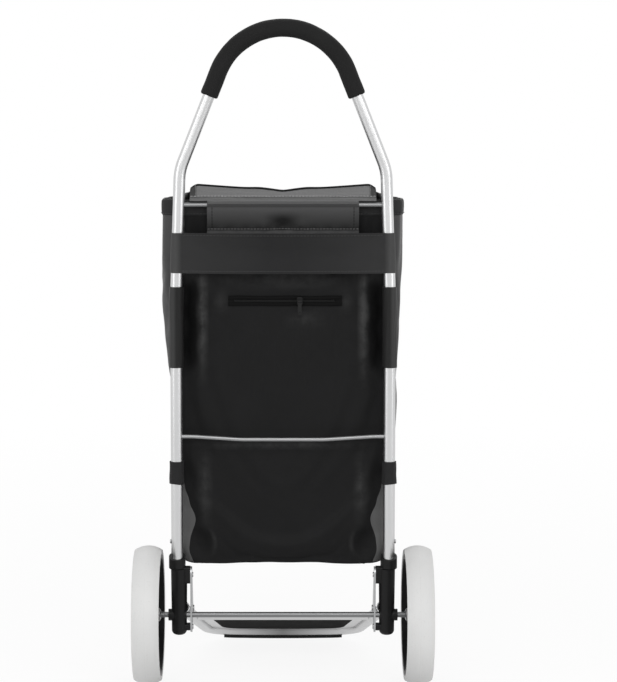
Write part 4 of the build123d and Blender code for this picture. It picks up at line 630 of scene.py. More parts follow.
def gusset_line(z, side):
    """A gusset's plan from the rear seam to the front seam, as flat points."""
    seam, rear, front = along(SEAM_HALF, z), along(REAR_HALF, z), along(FRONT_HALF, z)
    rear += along(RIGHT_EXTRA, z) if side > 0 else 0.0
    depth = along(DEPTH, z)
    rear_in = -swell(seam, z)
    start, end = Vector((seam, rear_in)), Vector((front - FRONT_SEAM_IN, depth))
    straight_from, straight_to = Vector((rear, rear_in + CORNER)), Vector((front, depth - CORNER))
    line = list(bend(start, Vector((rear, rear_in)), straight_from))
    line += [straight_from.lerp(straight_to, k / 20) for k in range(20)]
    line += list(bend(straight_to, Vector((front, depth)), end)) + [end]
    return line


def rim_sag(x):
    """How far the front rim hangs below its corners, where the lid dips."""
    return 0.0058 * hill(x, 0.0, 0.024)


def outline(z):
    """The whole outline of the bag at a height, seam to seam, back first."""
    seam, depth = along(SEAM_HALF, z), along(DEPTH, z)
    back = [seam * (2 * k / BACK_COLUMNS - 1) for k in range(BACK_COLUMNS)]
    ring = [Vector((x, BACK_Y - swell(x, z), z)) for x in back]
    sides = {}
    for side in (1, -1):
        line = walk(gusset_line(z, side), GUSSET_COLUMNS)
        placed = []
        for k, point in enumerate(line):
            ahead = line[k + 1] if k + 1 < len(line) else point * 2 - line[k - 1]
            out = Vector(((ahead - point).y, -(ahead - point).x)).normalized()
            point = point + out * gusset_fold(k / GUSSET_COLUMNS, z, side)
            placed.append(Vector((side * point.x, BACK_Y + point.y, z)))
        sides[side] = placed
    front_half = along(FRONT_HALF, z) - FRONT_SEAM_IN
    high = (z - BAG_LOW) / (BAG_TOP - BAG_LOW)
    front = []
    for k in range(BACK_COLUMNS):
        x = front_half * (1 - 2 * k / BACK_COLUMNS)
        inner = 1 - (x / front_half) ** 2
        belly = 0.010 * window(high, 0.1, 0.8, 0.5)
        out = inner * (belly + 0.004 * noise.noise(Vector((x * 14, z * 9, 8.1))))
        sag = rim_sag(x) * ease((high - 0.75) / 0.25)
        front.append(Vector((x, BACK_Y + depth + out, z - sag)))
    left = [Vector((-front_half, BACK_Y + depth, z))] + list(reversed(sides[-1][1:]))
    return ring + sides[1] + front + left


print("outline at mid height:", len(outline(0.44)), "points")

# %% [markdown]
# The rows stack up into the shell's walls. The lower edge isn't level: it droops near the
# corners and lifts at them.

# %% The shell's walls
BASE_GAP = 0.002


def low_edge(x, y):
    """How far the bag's lower edge lifts above its lowest height at a place."""
    side = abs(x)
    corner = 0.007 * ease((side - 0.124) / 0.034)
    wave = 0.0018 * (1 - hill(side, 0.092, 0.03)) * ease((0.14 - side) / 0.02)
    return corner + wave + 0.0012 * noise.noise(Vector((x * 30, y * 30, 0.5)))


rings = []
for row in range(ROWS + 1):
    level = row / ROWS
    ring = outline(BAG_LOW + BASE_GAP + (BAG_TOP - BAG_LOW - BASE_GAP) * level)
    lift = (1 - level) ** 6
    rings.append([p + Vector((0, 0, low_edge(p.x, p.y) * lift)) for p in ring])
points = [p for ring in rings for p in ring]
faces = []
for row in range(ROWS):
    for k in range(AROUND):
        a, b = row * AROUND + k, row * AROUND + (k + 1) % AROUND
        faces.append((a, b, b + AROUND, a + AROUND))
print("walls", len(points), "points", len(faces), "faces")

# %% [markdown]
# The base is a grid spanned between the lowest row's back, right, front and left. Its edge is
# that row itself. Inside, each point is blended from the four sides and sags a little.

# %% The shell's base
low_ring = rings[0]
corner_at = [0, BACK_COLUMNS, BACK_COLUMNS + GUSSET_COLUMNS, 2 * BACK_COLUMNS + GUSSET_COLUMNS]
sw, se, ne, nw = (low_ring[c] for c in corner_at)
base_index = {}
for i in range(BACK_COLUMNS + 1):
    for j in range(GUSSET_COLUMNS + 1):
        north, east = corner_at[3] - i, corner_at[1] + j
        west = (corner_at[3] + GUSSET_COLUMNS - j) % AROUND
        if j == 0:
            base_index[i, j] = i
        elif i == BACK_COLUMNS:
            base_index[i, j] = east
        elif j == GUSSET_COLUMNS:
            base_index[i, j] = north
        elif i == 0:
            base_index[i, j] = west
        else:
            s, t = i / BACK_COLUMNS, j / GUSSET_COLUMNS
            flat = low_ring[i] * (1 - t) + low_ring[north] * t
            flat = flat + low_ring[west] * (1 - s) + low_ring[east] * s
            flat -= sw * (1 - s) * (1 - t) + se * s * (1 - t) + ne * s * t + nw * (1 - s) * t
            base_index[i, j] = len(points)
            points.append(flat + Vector((0, 0, -0.002 * sin(pi * s) * sin(pi * t))))
for i in range(BACK_COLUMNS):
    for j in range(GUSSET_COLUMNS):
        around_cell = ((i, j), (i, j + 1), (i + 1, j + 1), (i + 1, j))
        faces.append(tuple(base_index[cell] for cell in around_cell))
shell = add_object("bag_shell", points, faces)
print("shell", len(points), "points", len(faces), "faces")

# %% [markdown]
# Cloth isn't drawn, it settles. The mouth, the seams that the tubes hold, the base's edge and
# the zip's place are pinned for that, and the ridges and corners of the back panel in part.


# %% How firmly the cloth is held
def pin_weight(index):
    """How firmly a point is held, from 0 to 1."""
    p = points[index]
    row, k = divmod(index, AROUND)
    if row > ROWS:
        return 0.3
    held = 1.0 if row >= ROWS - 3 else 0.0
    held = max(held, 0.8 if row == 0 else 0.0)
    if k in corner_at:
        held = max(held, 0.55)
    zip_near = window(p.z, ZIP_Z - 0.016, ZIP_Z + 0.016, 0.01) * window(p.x, -0.092, 0.098, 0.01)
    if p.y < BACK_Y + 0.025:
        ridge_near = 0.85 * window(abs(p.x), 0.100, 0.140, 0.01) * window(p.z, 0.43, 0.62, 0.03)
        corner_near = 0.6 * window(abs(p.x), 0.092, 0.140, 0.01) * window(p.z, 0.17, 0.26, 0.02)
        held = max(held, zip_near, ridge_near, corner_near, 0.8 * ease((abs(p.x) - 0.132) / 0.01))
    return held


# %% [markdown]
# A short cloth simulation with one part in a hundred of spare length lets the panels find their
# own small wrinkles under their weight. No point may move more than a few millimetres, so that
# the cloth stays clear of the frame.

# %% Let the cloth settle
MAX_SHIFT = 0.006
SETTLE_FRAMES = 24


def settle(thing, frames):
    """Runs the cloth and applies it, with each point's move capped."""
    group = thing.vertex_groups.new(name="held")
    before = [v.co.copy() for v in thing.data.vertices]
    for index in range(len(before)):
        group.add([index], pin_weight(index), "REPLACE")
    cloth = thing.modifiers.new("settle", "CLOTH")
    cloth.settings.quality = 6
    cloth.settings.mass = 0.25
    cloth.settings.tension_stiffness = cloth.settings.compression_stiffness = 12
    cloth.settings.shear_stiffness = 4
    cloth.settings.bending_stiffness = 0.35
    cloth.settings.vertex_group_mass = "held"
    cloth.settings.pin_stiffness = 2.0
    cloth.settings.shrink_min = -0.010
    cloth.settings.effector_weights.gravity = 0.5
    cloth.settings.use_pressure = True
    cloth.settings.uniform_pressure_force = 0.6
    cloth.collision_settings.use_collision = False
    cloth.point_cache.frame_start, cloth.point_cache.frame_end = 1, frames
    for number in range(1, frames + 1):
        bpy.context.scene.frame_set(number)
    pick(thing)
    apply("settle")
    bpy.context.scene.frame_set(1)
    farthest = 0.0
    for v, old in zip(thing.data.vertices, before):
        shift = v.co - old
        farthest = max(farthest, shift.length)
        v.co = old + shift * (MAX_SHIFT / max(MAX_SHIFT, shift.length))
        if abs(v.co.x) > 0.139 and v.co.y < TUBE_Y + 0.05:
            v.co.y = max(v.co.y, BACK_Y - 0.002)
    thing.vertex_groups.clear()
    print("cloth settled; farthest point wished to move", round(farthest * 1000, 1), "mm")


settle(shell, SETTLE_FRAMES)
settled = [v.co.copy() for v in shell.data.vertices]

# %% [markdown]
# Every cloth piece is a sheet laid through a grid of points. Its UV map is measured along the
# cloth in metres, so threads keep their width. Solidify gives the sheet its thickness inwards,
# and one level of subdivision rounds it. Both are applied to the mesh.

# %% Sheets through grids
def lengths_along(line):
    total, out = 0.0, [0.0]
    for a, b in zip(line, line[1:]):
        total += (b - a).length
        out.append(total)
    return out


def grid_of(rows, columns, place):
    """Rows of points, each placed by its shares of the way up and across, from 0 to 1."""
    return [[place(i / rows, k / columns) for k in range(columns + 1)] for i in range(rows + 1)]


def cloth_piece(name, grid, cloth, thickness, closed=False):
    """A sheet through rows of points; closed joins each row's end to its start."""
    columns = len(grid[0])
    middle = grid[len(grid) // 2]
    u = lengths_along(middle + middle[:1])
    v = lengths_along([row[columns // 2] for row in grid])
    faces, corners = [], []
    for i in range(len(grid) - 1):
        low, high = i * columns, (i + 1) * columns
        for k in range(columns if closed else columns - 1):
            n = (k + 1) % columns
            faces.append((low + k, low + n, high + n, high + k))
            corners += [(u[k], v[i]), (u[k + 1], v[i]), (u[k + 1], v[i + 1]), (u[k], v[i + 1])]
    piece = add_object(name, [p for row in grid for p in row], faces, cloths[cloth])
    threads = piece.data.uv_layers.new(name="threads")
    for loop, place in zip(threads.data, corners):
        loop.uv = place
    round_off = piece.modifiers.new("round", "SUBSURF")
    round_off.levels = round_off.render_levels = 1
    wall = piece.modifiers.new("wall", "SOLIDIFY")
    wall.thickness, wall.offset = thickness, -1.0
    pick(piece)
    apply("round", "wall")
    bpy.ops.object.shade_smooth_by_angle(angle=radians(50))
    return piece


# %% [markdown]
# Each sheet's flat cut that it was sewn from is printed: its longest row by its longest
# column, and the area of its grid.


# %% Flat cuts
def sheet_area(grid, closed=False):
    total = 0.0
    for low, high in zip(grid, grid[1:]):
        ends = range(len(low) if closed else len(low) - 1)
        for k in ends:
            a, b, c, d = low[k], low[(k + 1) % len(low)], high[(k + 1) % len(low)], high[k]
            total += ((c - a).cross(d - b)).length / 2
    return total


def sew(name, grid, cloth, thickness, held, rests_on, node=None, closed=False, **takes):
    """Makes a sheet on its body, prints its flat cut and hides the CAD node it stands for; a slot given to
    it is not used.
    """
    piece = cloth_piece(name, grid, cloth, thickness, closed)
    width = max(lengths_along(row + row[:1] if closed else row)[-1] for row in grid)
    tall = max(lengths_along([row[k] for row in grid])[-1] for k in range(len(grid[0])))
    area = sheet_area(grid, closed)
    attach(piece, takes.get("body", "frame"))
    if node:
        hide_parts(node)
    print(name, "cut", round(width, 3), "x", round(tall, 3), "m, area", round(area, 4))
    return piece


# %% [markdown]
# The shell is now cut along its seams into its panels. The back panel is cut again below the
# zip, because its lower part crumples when the foot folds up under the bag and its upper
# part doesn't.

# %% The bag's panels
CLOTH = 0.0016
CUT_ROW = 60


def shell_grid(first, count, low_row=0, high_row=ROWS):
    """The settled points of some of the shell's columns, between two of its rows."""
    columns = [(first + k) % AROUND for k in range(count + 1)]
    return [[settled[r * AROUND + k] for k in columns] for r in range(low_row, high_row + 1)]


floor_grid = []
for i in range(BACK_COLUMNS + 1):
    floor_grid.append([settled[base_index[i, j]] for j in range(GUSSET_COLUMNS + 1)])
PANELS = [
    ("bag_back_upper", "bag_back_panel", shell_grid(0, BACK_COLUMNS, CUT_ROW, ROWS)),
    ("bag_back_lower", "bag_back_panel", shell_grid(0, BACK_COLUMNS, 0, CUT_ROW)),
    ("bag_right_side", "bag_right_gusset", shell_grid(corner_at[1], GUSSET_COLUMNS)),
    ("bag_front", "bag_front_panel", shell_grid(corner_at[2], BACK_COLUMNS)),
    ("bag_left_side", "bag_left_gusset", shell_grid(corner_at[3], GUSSET_COLUMNS)),
    ("bag_floor", "bag_base", floor_grid),
]
panels = {}
for name, node, grid in PANELS:
    # Painted light: the side panels take the gusset cloth, a lighter copy of the bag's black cloth.
    cloth = "gusset_cloth" if "side" in name else "bag_cloth"
    panels[name] = sew(name, grid, cloth, CLOTH, "hung", ["top_rod"], node, slot="bag_cloth")
bpy.data.objects.remove(shell)

# %% [markdown]
# The hem is a strip folded over the mouth and sewn through, so it is a little thicker than the
# wall on both sides.

# %% The rim hem
HEM_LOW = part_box("bag_rim_hem")[0].z
HEM_PATH = [
    (0.0008, HEM_LOW),
    (0.0018, HEM_LOW + 0.0025),
    (0.0021, HEM_LOW + 0.011),
    (0.0021, BAG_TOP - 0.004),
    (0.0012, BAG_TOP - 0.0009),
    (-0.0014, BAG_TOP - 0.0006),
    (-0.0036, BAG_TOP - 0.003),
    (-0.0038, BAG_TOP - 0.012),
    (-0.0030, HEM_LOW + 0.001),
]


def outwards(ring, k):
    way = ring[(k + 1) % len(ring)] - ring[k - 1]
    return Vector((way.y, -way.x, 0)).normalized()


top_ring = [settled[ROWS * AROUND + k] for k in range(AROUND)]
hem_grid = []
for out, z in HEM_PATH:
    hem_grid.append([])
    for k, p in enumerate(top_ring):
        pucker = 0.0004 * sin(k * 2.1) * hill(z, HEM_LOW + 0.004, 0.004)
        level = Vector((p.x, p.y, z + p.z - BAG_TOP))
        hem_grid[-1].append(level + outwards(top_ring, k) * (out + pucker))
HEM_ON = ["bag_back_upper"]
sew("bag_hem", hem_grid, "hem_cloth", 0.001, "stretched", HEM_ON, "bag_rim_hem", closed=True)

# %% [markdown]
# The flap hangs over the top rod: its rear fall is sewn to the wide band below, and its other
# end is sewn under the strip that leads to the lid. The lower seam is puckered by its thread,
# and the cloth is slack in the middle, with a soft dent.

# %% The hanger flap
flap_low, flap_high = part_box("hanger_flap")
FLAP_HALF = flap_high.x
ROD_REACH = 0.0046
FLAP_REAR = TUBE_Y - ROD_REACH
FLAP_SEAM_Z = flap_low.z + 0.0165
FLAP_COLUMNS = 60


def flap_path():
    """The flap's line from its lower edge up and over the rod."""
    path = [Vector((0, FLAP_REAR, flap_low.z + k * (ROD_Z - flap_low.z) / 22)) for k in range(22)]
    for k in range(9):
        turn = pi - k * pi / 13
        path.append(Vector((0, TUBE_Y + ROD_REACH * cos(turn), ROD_Z + ROD_REACH * sin(turn))))
    return path


flap_grid = []
for p in flap_path():
    row = []
    falls = ease((ROD_Z - 0.002 - p.z) / 0.010) if p.y < TUBE_Y else 0.0
    for k in range(FLAP_COLUMNS + 1):
        x = FLAP_HALF * (2 * k / FLAP_COLUMNS - 1)
        wave = sin(x * 2 * pi / 0.018 + 2.2 * sin(x * 40))
        pucker = 0.0012 * wave * hill(p.z, FLAP_SEAM_Z + 0.003, 0.005)
        seam = 0.0016 * hill(p.z, FLAP_SEAM_Z, 0.0022)
        wide = 0.010 + 0.018 * ease((p.z - 0.660) / 0.022)
        dent = 0.0105 * hill(x, 0.0, wide) * ease((0.683 - p.z) / 0.021) * ease((p.z - 0.655) / 0.007)
        folds = 0.0036 * (hill(x, -0.026, 0.009) + hill(x, 0.024, 0.009)) * hill(p.z, 0.664, 0.007)
        lean = 0.0045 * ease((ROD_Z - p.z) / 0.045)
        row.append(p + Vector((x, falls * (dent + seam + lean - folds * 0.5 - pucker), 0)))
    flap_grid.append(row)
sew("hanger_cloth", flap_grid, "flap_cloth", 0.0012, "hung", ["top_rod"], "hanger_flap")

# %% [markdown]
# The band goes flat across the back, round the outside of both tubes, and returns to the bag,
# where it is sewn. Its path is a plan view, and its height makes the sheet.

# %% The back band
band_low, band_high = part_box("back_band")
WRAP_R = TUBE_R + 0.0014
BAND_ENDS = 0.0155
ARC_STEPS = 12
FLAT_STEPS = 44
BAND_ROWS = 18


def around(x, y, radius, start, steps=ARC_STEPS, sweep=pi):
    """Plan points on an arc about a tube, turning anticlockwise."""
    turns = [start + sweep * k / steps for k in range(steps + 1)]
    return [Vector((x + radius * cos(turn), y + radius * sin(turn), 0)) for turn in turns]


def band_plan(tube):
    """The band's plan where the right tube's middle is at a distance from the centre line."""
    rear, front = TUBE_Y - WRAP_R, TUBE_Y + WRAP_R
    flat = [Vector((tube * (2 * k / FLAT_STEPS - 1), rear, 0)) for k in range(1, FLAT_STEPS)]
    left = [Vector((BAND_ENDS - tube, front, 0))] + around(-tube, TUBE_Y, WRAP_R, pi / 2)
    right = around(tube, TUBE_Y, WRAP_R, -pi / 2) + [Vector((tube - BAND_ENDS, front, 0))]
    return left + flat + right


band_grid = []
for i in range(BAND_ROWS + 1):
    high = i / BAND_ROWS
    z = band_low.z + (band_high.z - band_low.z) * high
    row = []
    for p in band_plan(tube_at(z)):
        flat = ease((tube_at(z) - abs(p.x)) / 0.016) if p.y < TUBE_Y else 0.0
        roll = 0.0007 * (hill(high, 0.0, 0.08) + hill(high, 1.0, 0.07))
        seam = 0.0006 * (hill(high, 0.06, 0.025) + hill(high, 0.92, 0.025))
        ripple = 0.0013 * noise.noise(Vector((p.x * 20, high * 2.4, 5.1)))
        hollow = 0.0022 * sin(pi * high)
        sag = -0.0008 * flat * (1 - (p.x / TUBE_X) ** 2)
        row.append(p + Vector((0, flat * (ripple + hollow + seam - roll), z + sag)))
    band_grid.append(row)
UPRIGHTS = ["left_upright", "right_upright"]
sew("back_band_cloth", band_grid, "band_cloth", 0.0012, "stretched", UPRIGHTS, "back_band")

# %% [markdown]
# Four cloth rings hold the bag to the tubes: a long sleeve and a short loop on each side. Each
# is a strip wrapped once round its tube, slightly loose, with a few soft rings of slack. Its
# end is sewn down on the back panel behind the tube.

# %% Sleeves and loops
HANDS = (("right", 1), ("left", -1))
WRAPS = [("sleeve", 0.0007, 0.0), ("loop", 0.0004, 0.0008)]
TAB = 0.008
WRAP_STEPS = 28


def panel_y(x, z):
    """How near to the camera the settled back panel comes at a place."""
    row = round((z - BAG_LOW) / (BAG_TOP - BAG_LOW) * ROWS)
    line = [settled[row * AROUND + k] for k in range(BACK_COLUMNS + 1)]
    return min(p.y for p in sorted(line, key=lambda p: abs(p.x - x))[:2])


def tube_wrap(hand, side, kind, slack, flare):
    """A sleeve or loop on one tube, with its slack and how much it widens downwards."""
    low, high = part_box(f"{hand}_{kind}")
    rows = max(8, round((high.z - low.z) / 0.005))
    grid = []
    for i in range(rows + 1):
        t = i / rows
        z = low.z + (high.z - low.z) * t
        loose = slack * (0.6 + 0.4 * sin(9 * t + side)) + flare * (1 - t) ** 2
        middle = Vector((tube_at(z), TUBE_Y, 0))
        row = []
        ring = around(middle.x, TUBE_Y, WRAP_R + loose, pi / 2, WRAP_STEPS, 2 * pi)
        for k, p in enumerate(ring):
            turn = 2 * pi * k / WRAP_STEPS
            spot = Vector((2.2 * cos(turn), 2.2 * sin(turn) + 4 * side, z * 11))
            crease = slack * 1.5 * noise.noise(spot)
            crease += slack * 0.9 * sin(7 * turn + 1.2 * sin(5 * t) + side) * sin(pi * t) ** 0.5
            droop = -1.6 * flare * (1 - t) * ease((middle.x + 0.004 - p.x) / 0.012)
            row.append(p + (p - middle).normalized() * crease + Vector((0, 0, z + droop)))
        last = row[-1]
        for k in range(1, 7):
            x = last.x - TAB * k / 6
            flat_y = panel_y(side * x, z) - 0.0008
            row.append(Vector((x, last.y + (flat_y - last.y) * ease(k / 3), last.z)))
        if side < 0:
            row = [Vector((-p.x, p.y, p.z)) for p in reversed(row)]
        grid.append(row)
    name, upright = f"{hand}_{kind}_cloth", f"{hand}_upright"
    return sew(name, grid, f"{kind}_cloth", 0.0011, "stretched", [upright], f"{hand}_{kind}")


wraps = {}
for kind, slack, flare in WRAPS:
    for hand, side in HANDS:
        wraps[hand, kind] = tube_wrap(hand, side, kind, slack, flare)

# %% [markdown]
# The lid is one panel whose sides are bound and droop over the mouth's sides. It rises to its
# front corners, dips in the middle, and its front turns down into a skirt. It's hung on the
# seam at the back, so it rides on the lid's own body.

# %% The lid
lid_low, lid_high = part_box("lid_panel")
LID_REAR_Y = lid_low.y
LID_FRONT_Y = lid_high.y
LID_SKIRT_Z = lid_low.z
LID_REAR_HALF = 0.133
LID_FRONT_HALF = lid_high.x
LID_TOP = BAG_TOP + 0.0034
LID_COLUMNS = 48
LID_ROWS = 34
SKIRT_ROWS = 7
BORDER = 0.0095


def lid_half(share):
    return LID_REAR_HALF + (LID_FRONT_HALF - LID_REAR_HALF) * share


def lid_height(x, share):
    """The lid's top at a place across it and a share of the way to the front."""
    edge = min(1.0, abs(x) / lid_half(share))
    lifted = 0.0060 * share * max(0.0, (edge - 0.40) / 0.60) ** 1.1
    dip = 0.0052 * max(0.0, 1 - abs(x) / 0.037) ** 1.15 * share**2
    inside = (lid_half(share) - abs(x)) / 0.012
    droop = (0.0016 + 0.0056 * share) * max(0.0, 1 - inside) ** 1.6
    wave = 0.0018 * noise.noise(Vector((x * 13, share * 3.1, 2.2))) * sin(pi * min(1, share * 1.4))
    return LID_TOP + lifted - dip - droop + max(-0.0009, wave)


def lid_y(share):
    return LID_REAR_Y + 0.0006 + (LID_FRONT_Y - LID_REAR_Y - 0.0014) * share


lid_grid = []
spread = [sin(pi / 2 * (2 * k / LID_COLUMNS - 1)) for k in range(LID_COLUMNS + 1)]
for i in range(LID_ROWS + 1):
    share = i / LID_ROWS
    xs = [lid_half(share) * x for x in spread]
    lid_grid.append([Vector((x, lid_y(share), lid_height(x, share))) for x in xs])
for i in range(1, SKIRT_ROWS + 1):
    drop = i / SKIRT_ROWS
    row = []
    for x in xs:
        top = lid_height(x, 1.0)
        curl = 0.0006 * sin(x * 55) * drop
        row.append(Vector((x, LID_FRONT_Y - 0.0004 + curl, top + (LID_SKIRT_Z + 0.0006 - top) * drop)))
    lid_grid.append(row)
LID_TAKES = {"body": "lid", "slot": "lid_cloth"}
sew("lid_cloth_panel", lid_grid, "lid_cloth", CLOTH, "laid", ["bag_hem"], "lid_panel", **LID_TAKES)

# %% [markdown]
# A darker strip is sewn over each side of the lid, and a round black piping finishes the far
# edge, where the top turns into the skirt. Both follow the lid's own height, a little above it.

# %% The lid's borders and piping
PIPE_R = 0.0017
ON_LID = ["lid_cloth_panel"]


def above_lid(x, share, lift, back=0.0):
    """A point a lift above the lid, and moved back from its place."""
    return Vector((x, lid_y(share) - back, lid_height(x, share) + lift))


def border(hand, side):
    """A strip along one side of the lid, turned down at its inner edge."""
    grid = []
    for i in range(LID_ROWS + 1):
        share = i / LID_ROWS
        row = []
        for k in range(6):
            x = side * (lid_half(share) + 0.0006 - BORDER * k / 5)
            row.append(above_lid(x, share, 0.0008 if k < 5 else 0.0002, back=0.0004))
        grid.append(row if side < 0 else list(reversed(row)))
    sew(f"{hand}_lid_border", grid, "border_cloth", 0.0006, "stretched", ON_LID, body="lid")


for hand, side in HANDS:
    border(hand, side)


def border_seam(side):
    """The line along which a border is sewn down, near its inner edge."""
    line = []
    for i in range(LID_ROWS + 1):
        share = i / LID_ROWS
        x = side * (lid_half(share) - BORDER * 0.82)
        line.append(above_lid(x, share, 0.0009))
    return line


pipe_grid = []
for x in xs:
    middle = Vector((x, LID_FRONT_Y - 0.0026, lid_height(x, 1.0) + 0.0011))
    radius = PIPE_R + 0.0007 * hill(x, 0.0, 0.045)
    ring = [Vector((0, cos(k * pi / 4), sin(k * pi / 4))) * radius for k in range(8)]
    pipe_grid.append([middle + p for p in ring])
sew("lid_piping", pipe_grid, "bag_cloth", 0.0003, "stretched", ON_LID, closed=True, body="lid")

# %% [markdown]
# From the lid's seam a strip of the lid's cloth slopes down to the rod, the whole width of the
# lid, where it covers the flap's end. It belongs to the bag, so it stays when the lid opens.

# %% The strip behind the lid
STRIP_ROWS = 8
STRIP_LOW = Vector((0, TUBE_Y + 0.0020, ROD_Z + 0.0058))
STRIP_HIGH = Vector((0, LID_REAR_Y - 0.0012, LID_TOP + 0.0004))


def strip_point(share, across):
    x = LID_REAR_HALF * (2 * across - 1)
    ridge = 0.0009 * hill(share, 0.94, 0.08)
    wave = 0.0007 * noise.noise(Vector((x * 24, share * 2, 6.4))) * sin(pi * share)
    return STRIP_LOW.lerp(STRIP_HIGH, share) + Vector((x, 0, ridge + wave))


strip_grid = grid_of(STRIP_ROWS, LID_COLUMNS, strip_point)
STRIP_ON = ["top_rod", "bag_hem"]
# Painted light: the strip's cloth is a lighter copy of the lid's.
sew("lid_strip", strip_grid, "strip_cloth", 0.0010, "stretched", STRIP_ON, slot="lid_cloth")

# %% [markdown]
# Between the flap's sides the strip goes on over the rod as a fold, and ends in a clean edge
# level with the rod's upper half. It lies on the flap, so its radius is a little larger.

# %% The fold over the rod
FOLD_R = ROD_REACH + 0.0015
FOLD_ROWS = 12
FOLD_FROM, FOLD_TURN = 162, 102


def fold_point(share, across):
    turn = radians(FOLD_FROM - FOLD_TURN * share)
    x = (FLAP_HALF - 0.0006) * (2 * across - 1)
    radius = FOLD_R + 0.0002 * noise.noise(Vector((x * 40, share, 9.3)))
    return Vector((x, TUBE_Y + radius * cos(turn), ROD_Z + radius * sin(turn)))


fold_grid = grid_of(FOLD_ROWS, LID_COLUMNS, fold_point)
# Painted light: the fold's cloth is a lighter copy of the lid's.
sew("hanger_fold", fold_grid, "fold_cloth", 0.0009, "stretched", ["hanger_cloth"], slot="lid_cloth")

# %% [markdown]
# The zip of the back pocket lies between two folded lips of cloth.

# %% The pocket zip
zip_low, zip_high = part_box("pocket_zip")
ZIP_X = (zip_low.x + zip_high.x) / 2
ZIP_HALF = (zip_high.x - zip_low.x) / 2
ZIP_FACE = BACK_Y - 0.0003
LIP = (zip_high.z - zip_low.z) / 2
WELT_STEPS = 40
LIP_PROFILE = [
    (1.0, 0.0), (0.97, 0.0010), (0.75, 0.0014),
    (0.48, 0.0016), (0.36, 0.0013), (0.33, 0.0003),
]
welt_profile = [(-across, proud) for across, proud in LIP_PROFILE] + list(reversed(LIP_PROFILE))
welt_grid = []
for across, proud in welt_profile:
    row = []
    for k in range(WELT_STEPS + 1):
        x = ZIP_X + ZIP_HALF * (2 * k / WELT_STEPS - 1)
        sag = 0.0003 * sin(x * 90 + across)
        row.append(Vector((x, ZIP_FACE - proud, ZIP_Z + LIP * across + sag)))
    welt_grid.append(row)
WELT_ON = ["bag_back_upper"]
sew("zip_welt", welt_grid, "zip_tape", 0.0007, "stretched", WELT_ON, "pocket_zip", slot="zip_tape")

# %% [markdown]
# Teeth and stitches are small bevelled blocks: one is modelled, and copied along a line.


# %% Small blocks and their copies
def small_block(size, bevel):
    bpy.ops.object.select_all(action="DESELECT")
    bpy.ops.mesh.primitive_cube_add(size=1)
    block = bpy.context.object
    block.scale = size
    bpy.ops.object.transform_apply(location=False, rotation=False, scale=True)
    on_whole_mesh(bpy.ops.mesh.bevel, offset=bevel, segments=1)
    return block


def copies(name, pattern, places, finish, body="frame"):
    """One mesh of many copies of a small pattern, each placed by a matrix."""
    points, faces = [], []
    corners = [v.co.copy() for v in pattern.data.vertices]
    sides = [tuple(f.vertices) for f in pattern.data.polygons]
    for place in places:
        start = len(points)
        points += [place @ corner for corner in corners]
        faces += [tuple(start + index for index in side) for side in sides]
    piece = add_object(name, points, faces, finish)
    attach(piece, body)


# %% [markdown]
# The zip's teeth are two rows of blocks that mesh, half a pitch apart.

# %% The zip's teeth
TOOTH_PITCH = 0.0024
TOOTH_OFF = 0.0007
ZIP_END = 0.009
tooth = small_block((0.0011, 0.0016, 0.0024), 0.0002)
tooth_places = []
for k in range(int(2 * (ZIP_HALF - ZIP_END) / TOOTH_PITCH)):
    x = ZIP_X - ZIP_HALF + ZIP_END + k * TOOTH_PITCH
    for shift, off in ((0.0, TOOTH_OFF), (TOOTH_PITCH / 2, -TOOTH_OFF)):
        tooth_places.append(Matrix.Translation((x + shift, ZIP_FACE - 0.0011, ZIP_Z + off)))
copies("zip_teeth", tooth, tooth_places, zip_enamel)
bpy.data.objects.remove(tooth)
print("zip with", len(tooth_places), "teeth")

# %% [markdown]
# Stitches are short raised dashes. Each row copies one along a line on the cloth, turned to
# follow the line.

# %% One stitch
STITCH_PITCH = 0.0048
stitch = small_block((0.0034, 0.0008, 0.0007), 0.00026)


def stitch_row(name, line, out, body="frame", slot="hem_cloth", cloth="sewing_thread"):
    """A row of stitches along a line of points, on the side that a direction points to."""
    length = lengths_along(line)[-1]
    stops = walk(line, max(2, round(length / STITCH_PITCH))) + [line[-1]]
    places = []
    for a, b in zip(stops, stops[1:]):
        way = (b - a).normalized()
        side = out.cross(way).normalized()
        up = way.cross(side)
        turn = Matrix((way, side, up)).transposed().to_4x4()
        places.append(Matrix.Translation((a + b) / 2 + up * 0.0001) @ turn)
    copies(name, stitch, places, cloths[cloth], body)
    return len(places)


# %% [markdown]
# Rows run along the band's edges, down the flap's sides and along its lower seam, beside the
# zip, along the lid's borders and across the seam at the lid's back.

# %% Rows of stitches
REARWARD = Vector((0, -1, 0))
UPWARD = Vector((0, 0, 1))


def flat_part(row, half):
    """The points of a row on the camera's side, within a half width."""
    return [p for p in row if abs(p.x) < half and p.y < TUBE_Y]


band_half = tube_at(band_high.z) - 0.004
rows_sewn = [
    stitch_row("band_top_stitches", flat_part(band_grid[-2], band_half), REARWARD),
    stitch_row("band_low_stitches", flat_part(band_grid[1], band_half), REARWARD),
]
FLAP_SEWN = (FLAP_SEAM_Z - 0.003, ROD_Z - 0.002)
falling = [row for row in flap_grid if row[0].y < TUBE_Y]
flap_rows = [row for row in falling if FLAP_SEWN[0] < row[0].z < FLAP_SEWN[1]]
for name, column in (("left", 2), ("right", FLAP_COLUMNS - 2)):
    line = [row[column] for row in flap_rows]
    rows_sewn.append(stitch_row(f"flap_{name}_stitches", line, REARWARD, cloth="zip_tape"))
seam_row = min(flap_rows, key=lambda row: abs(row[0].z - FLAP_SEAM_Z))
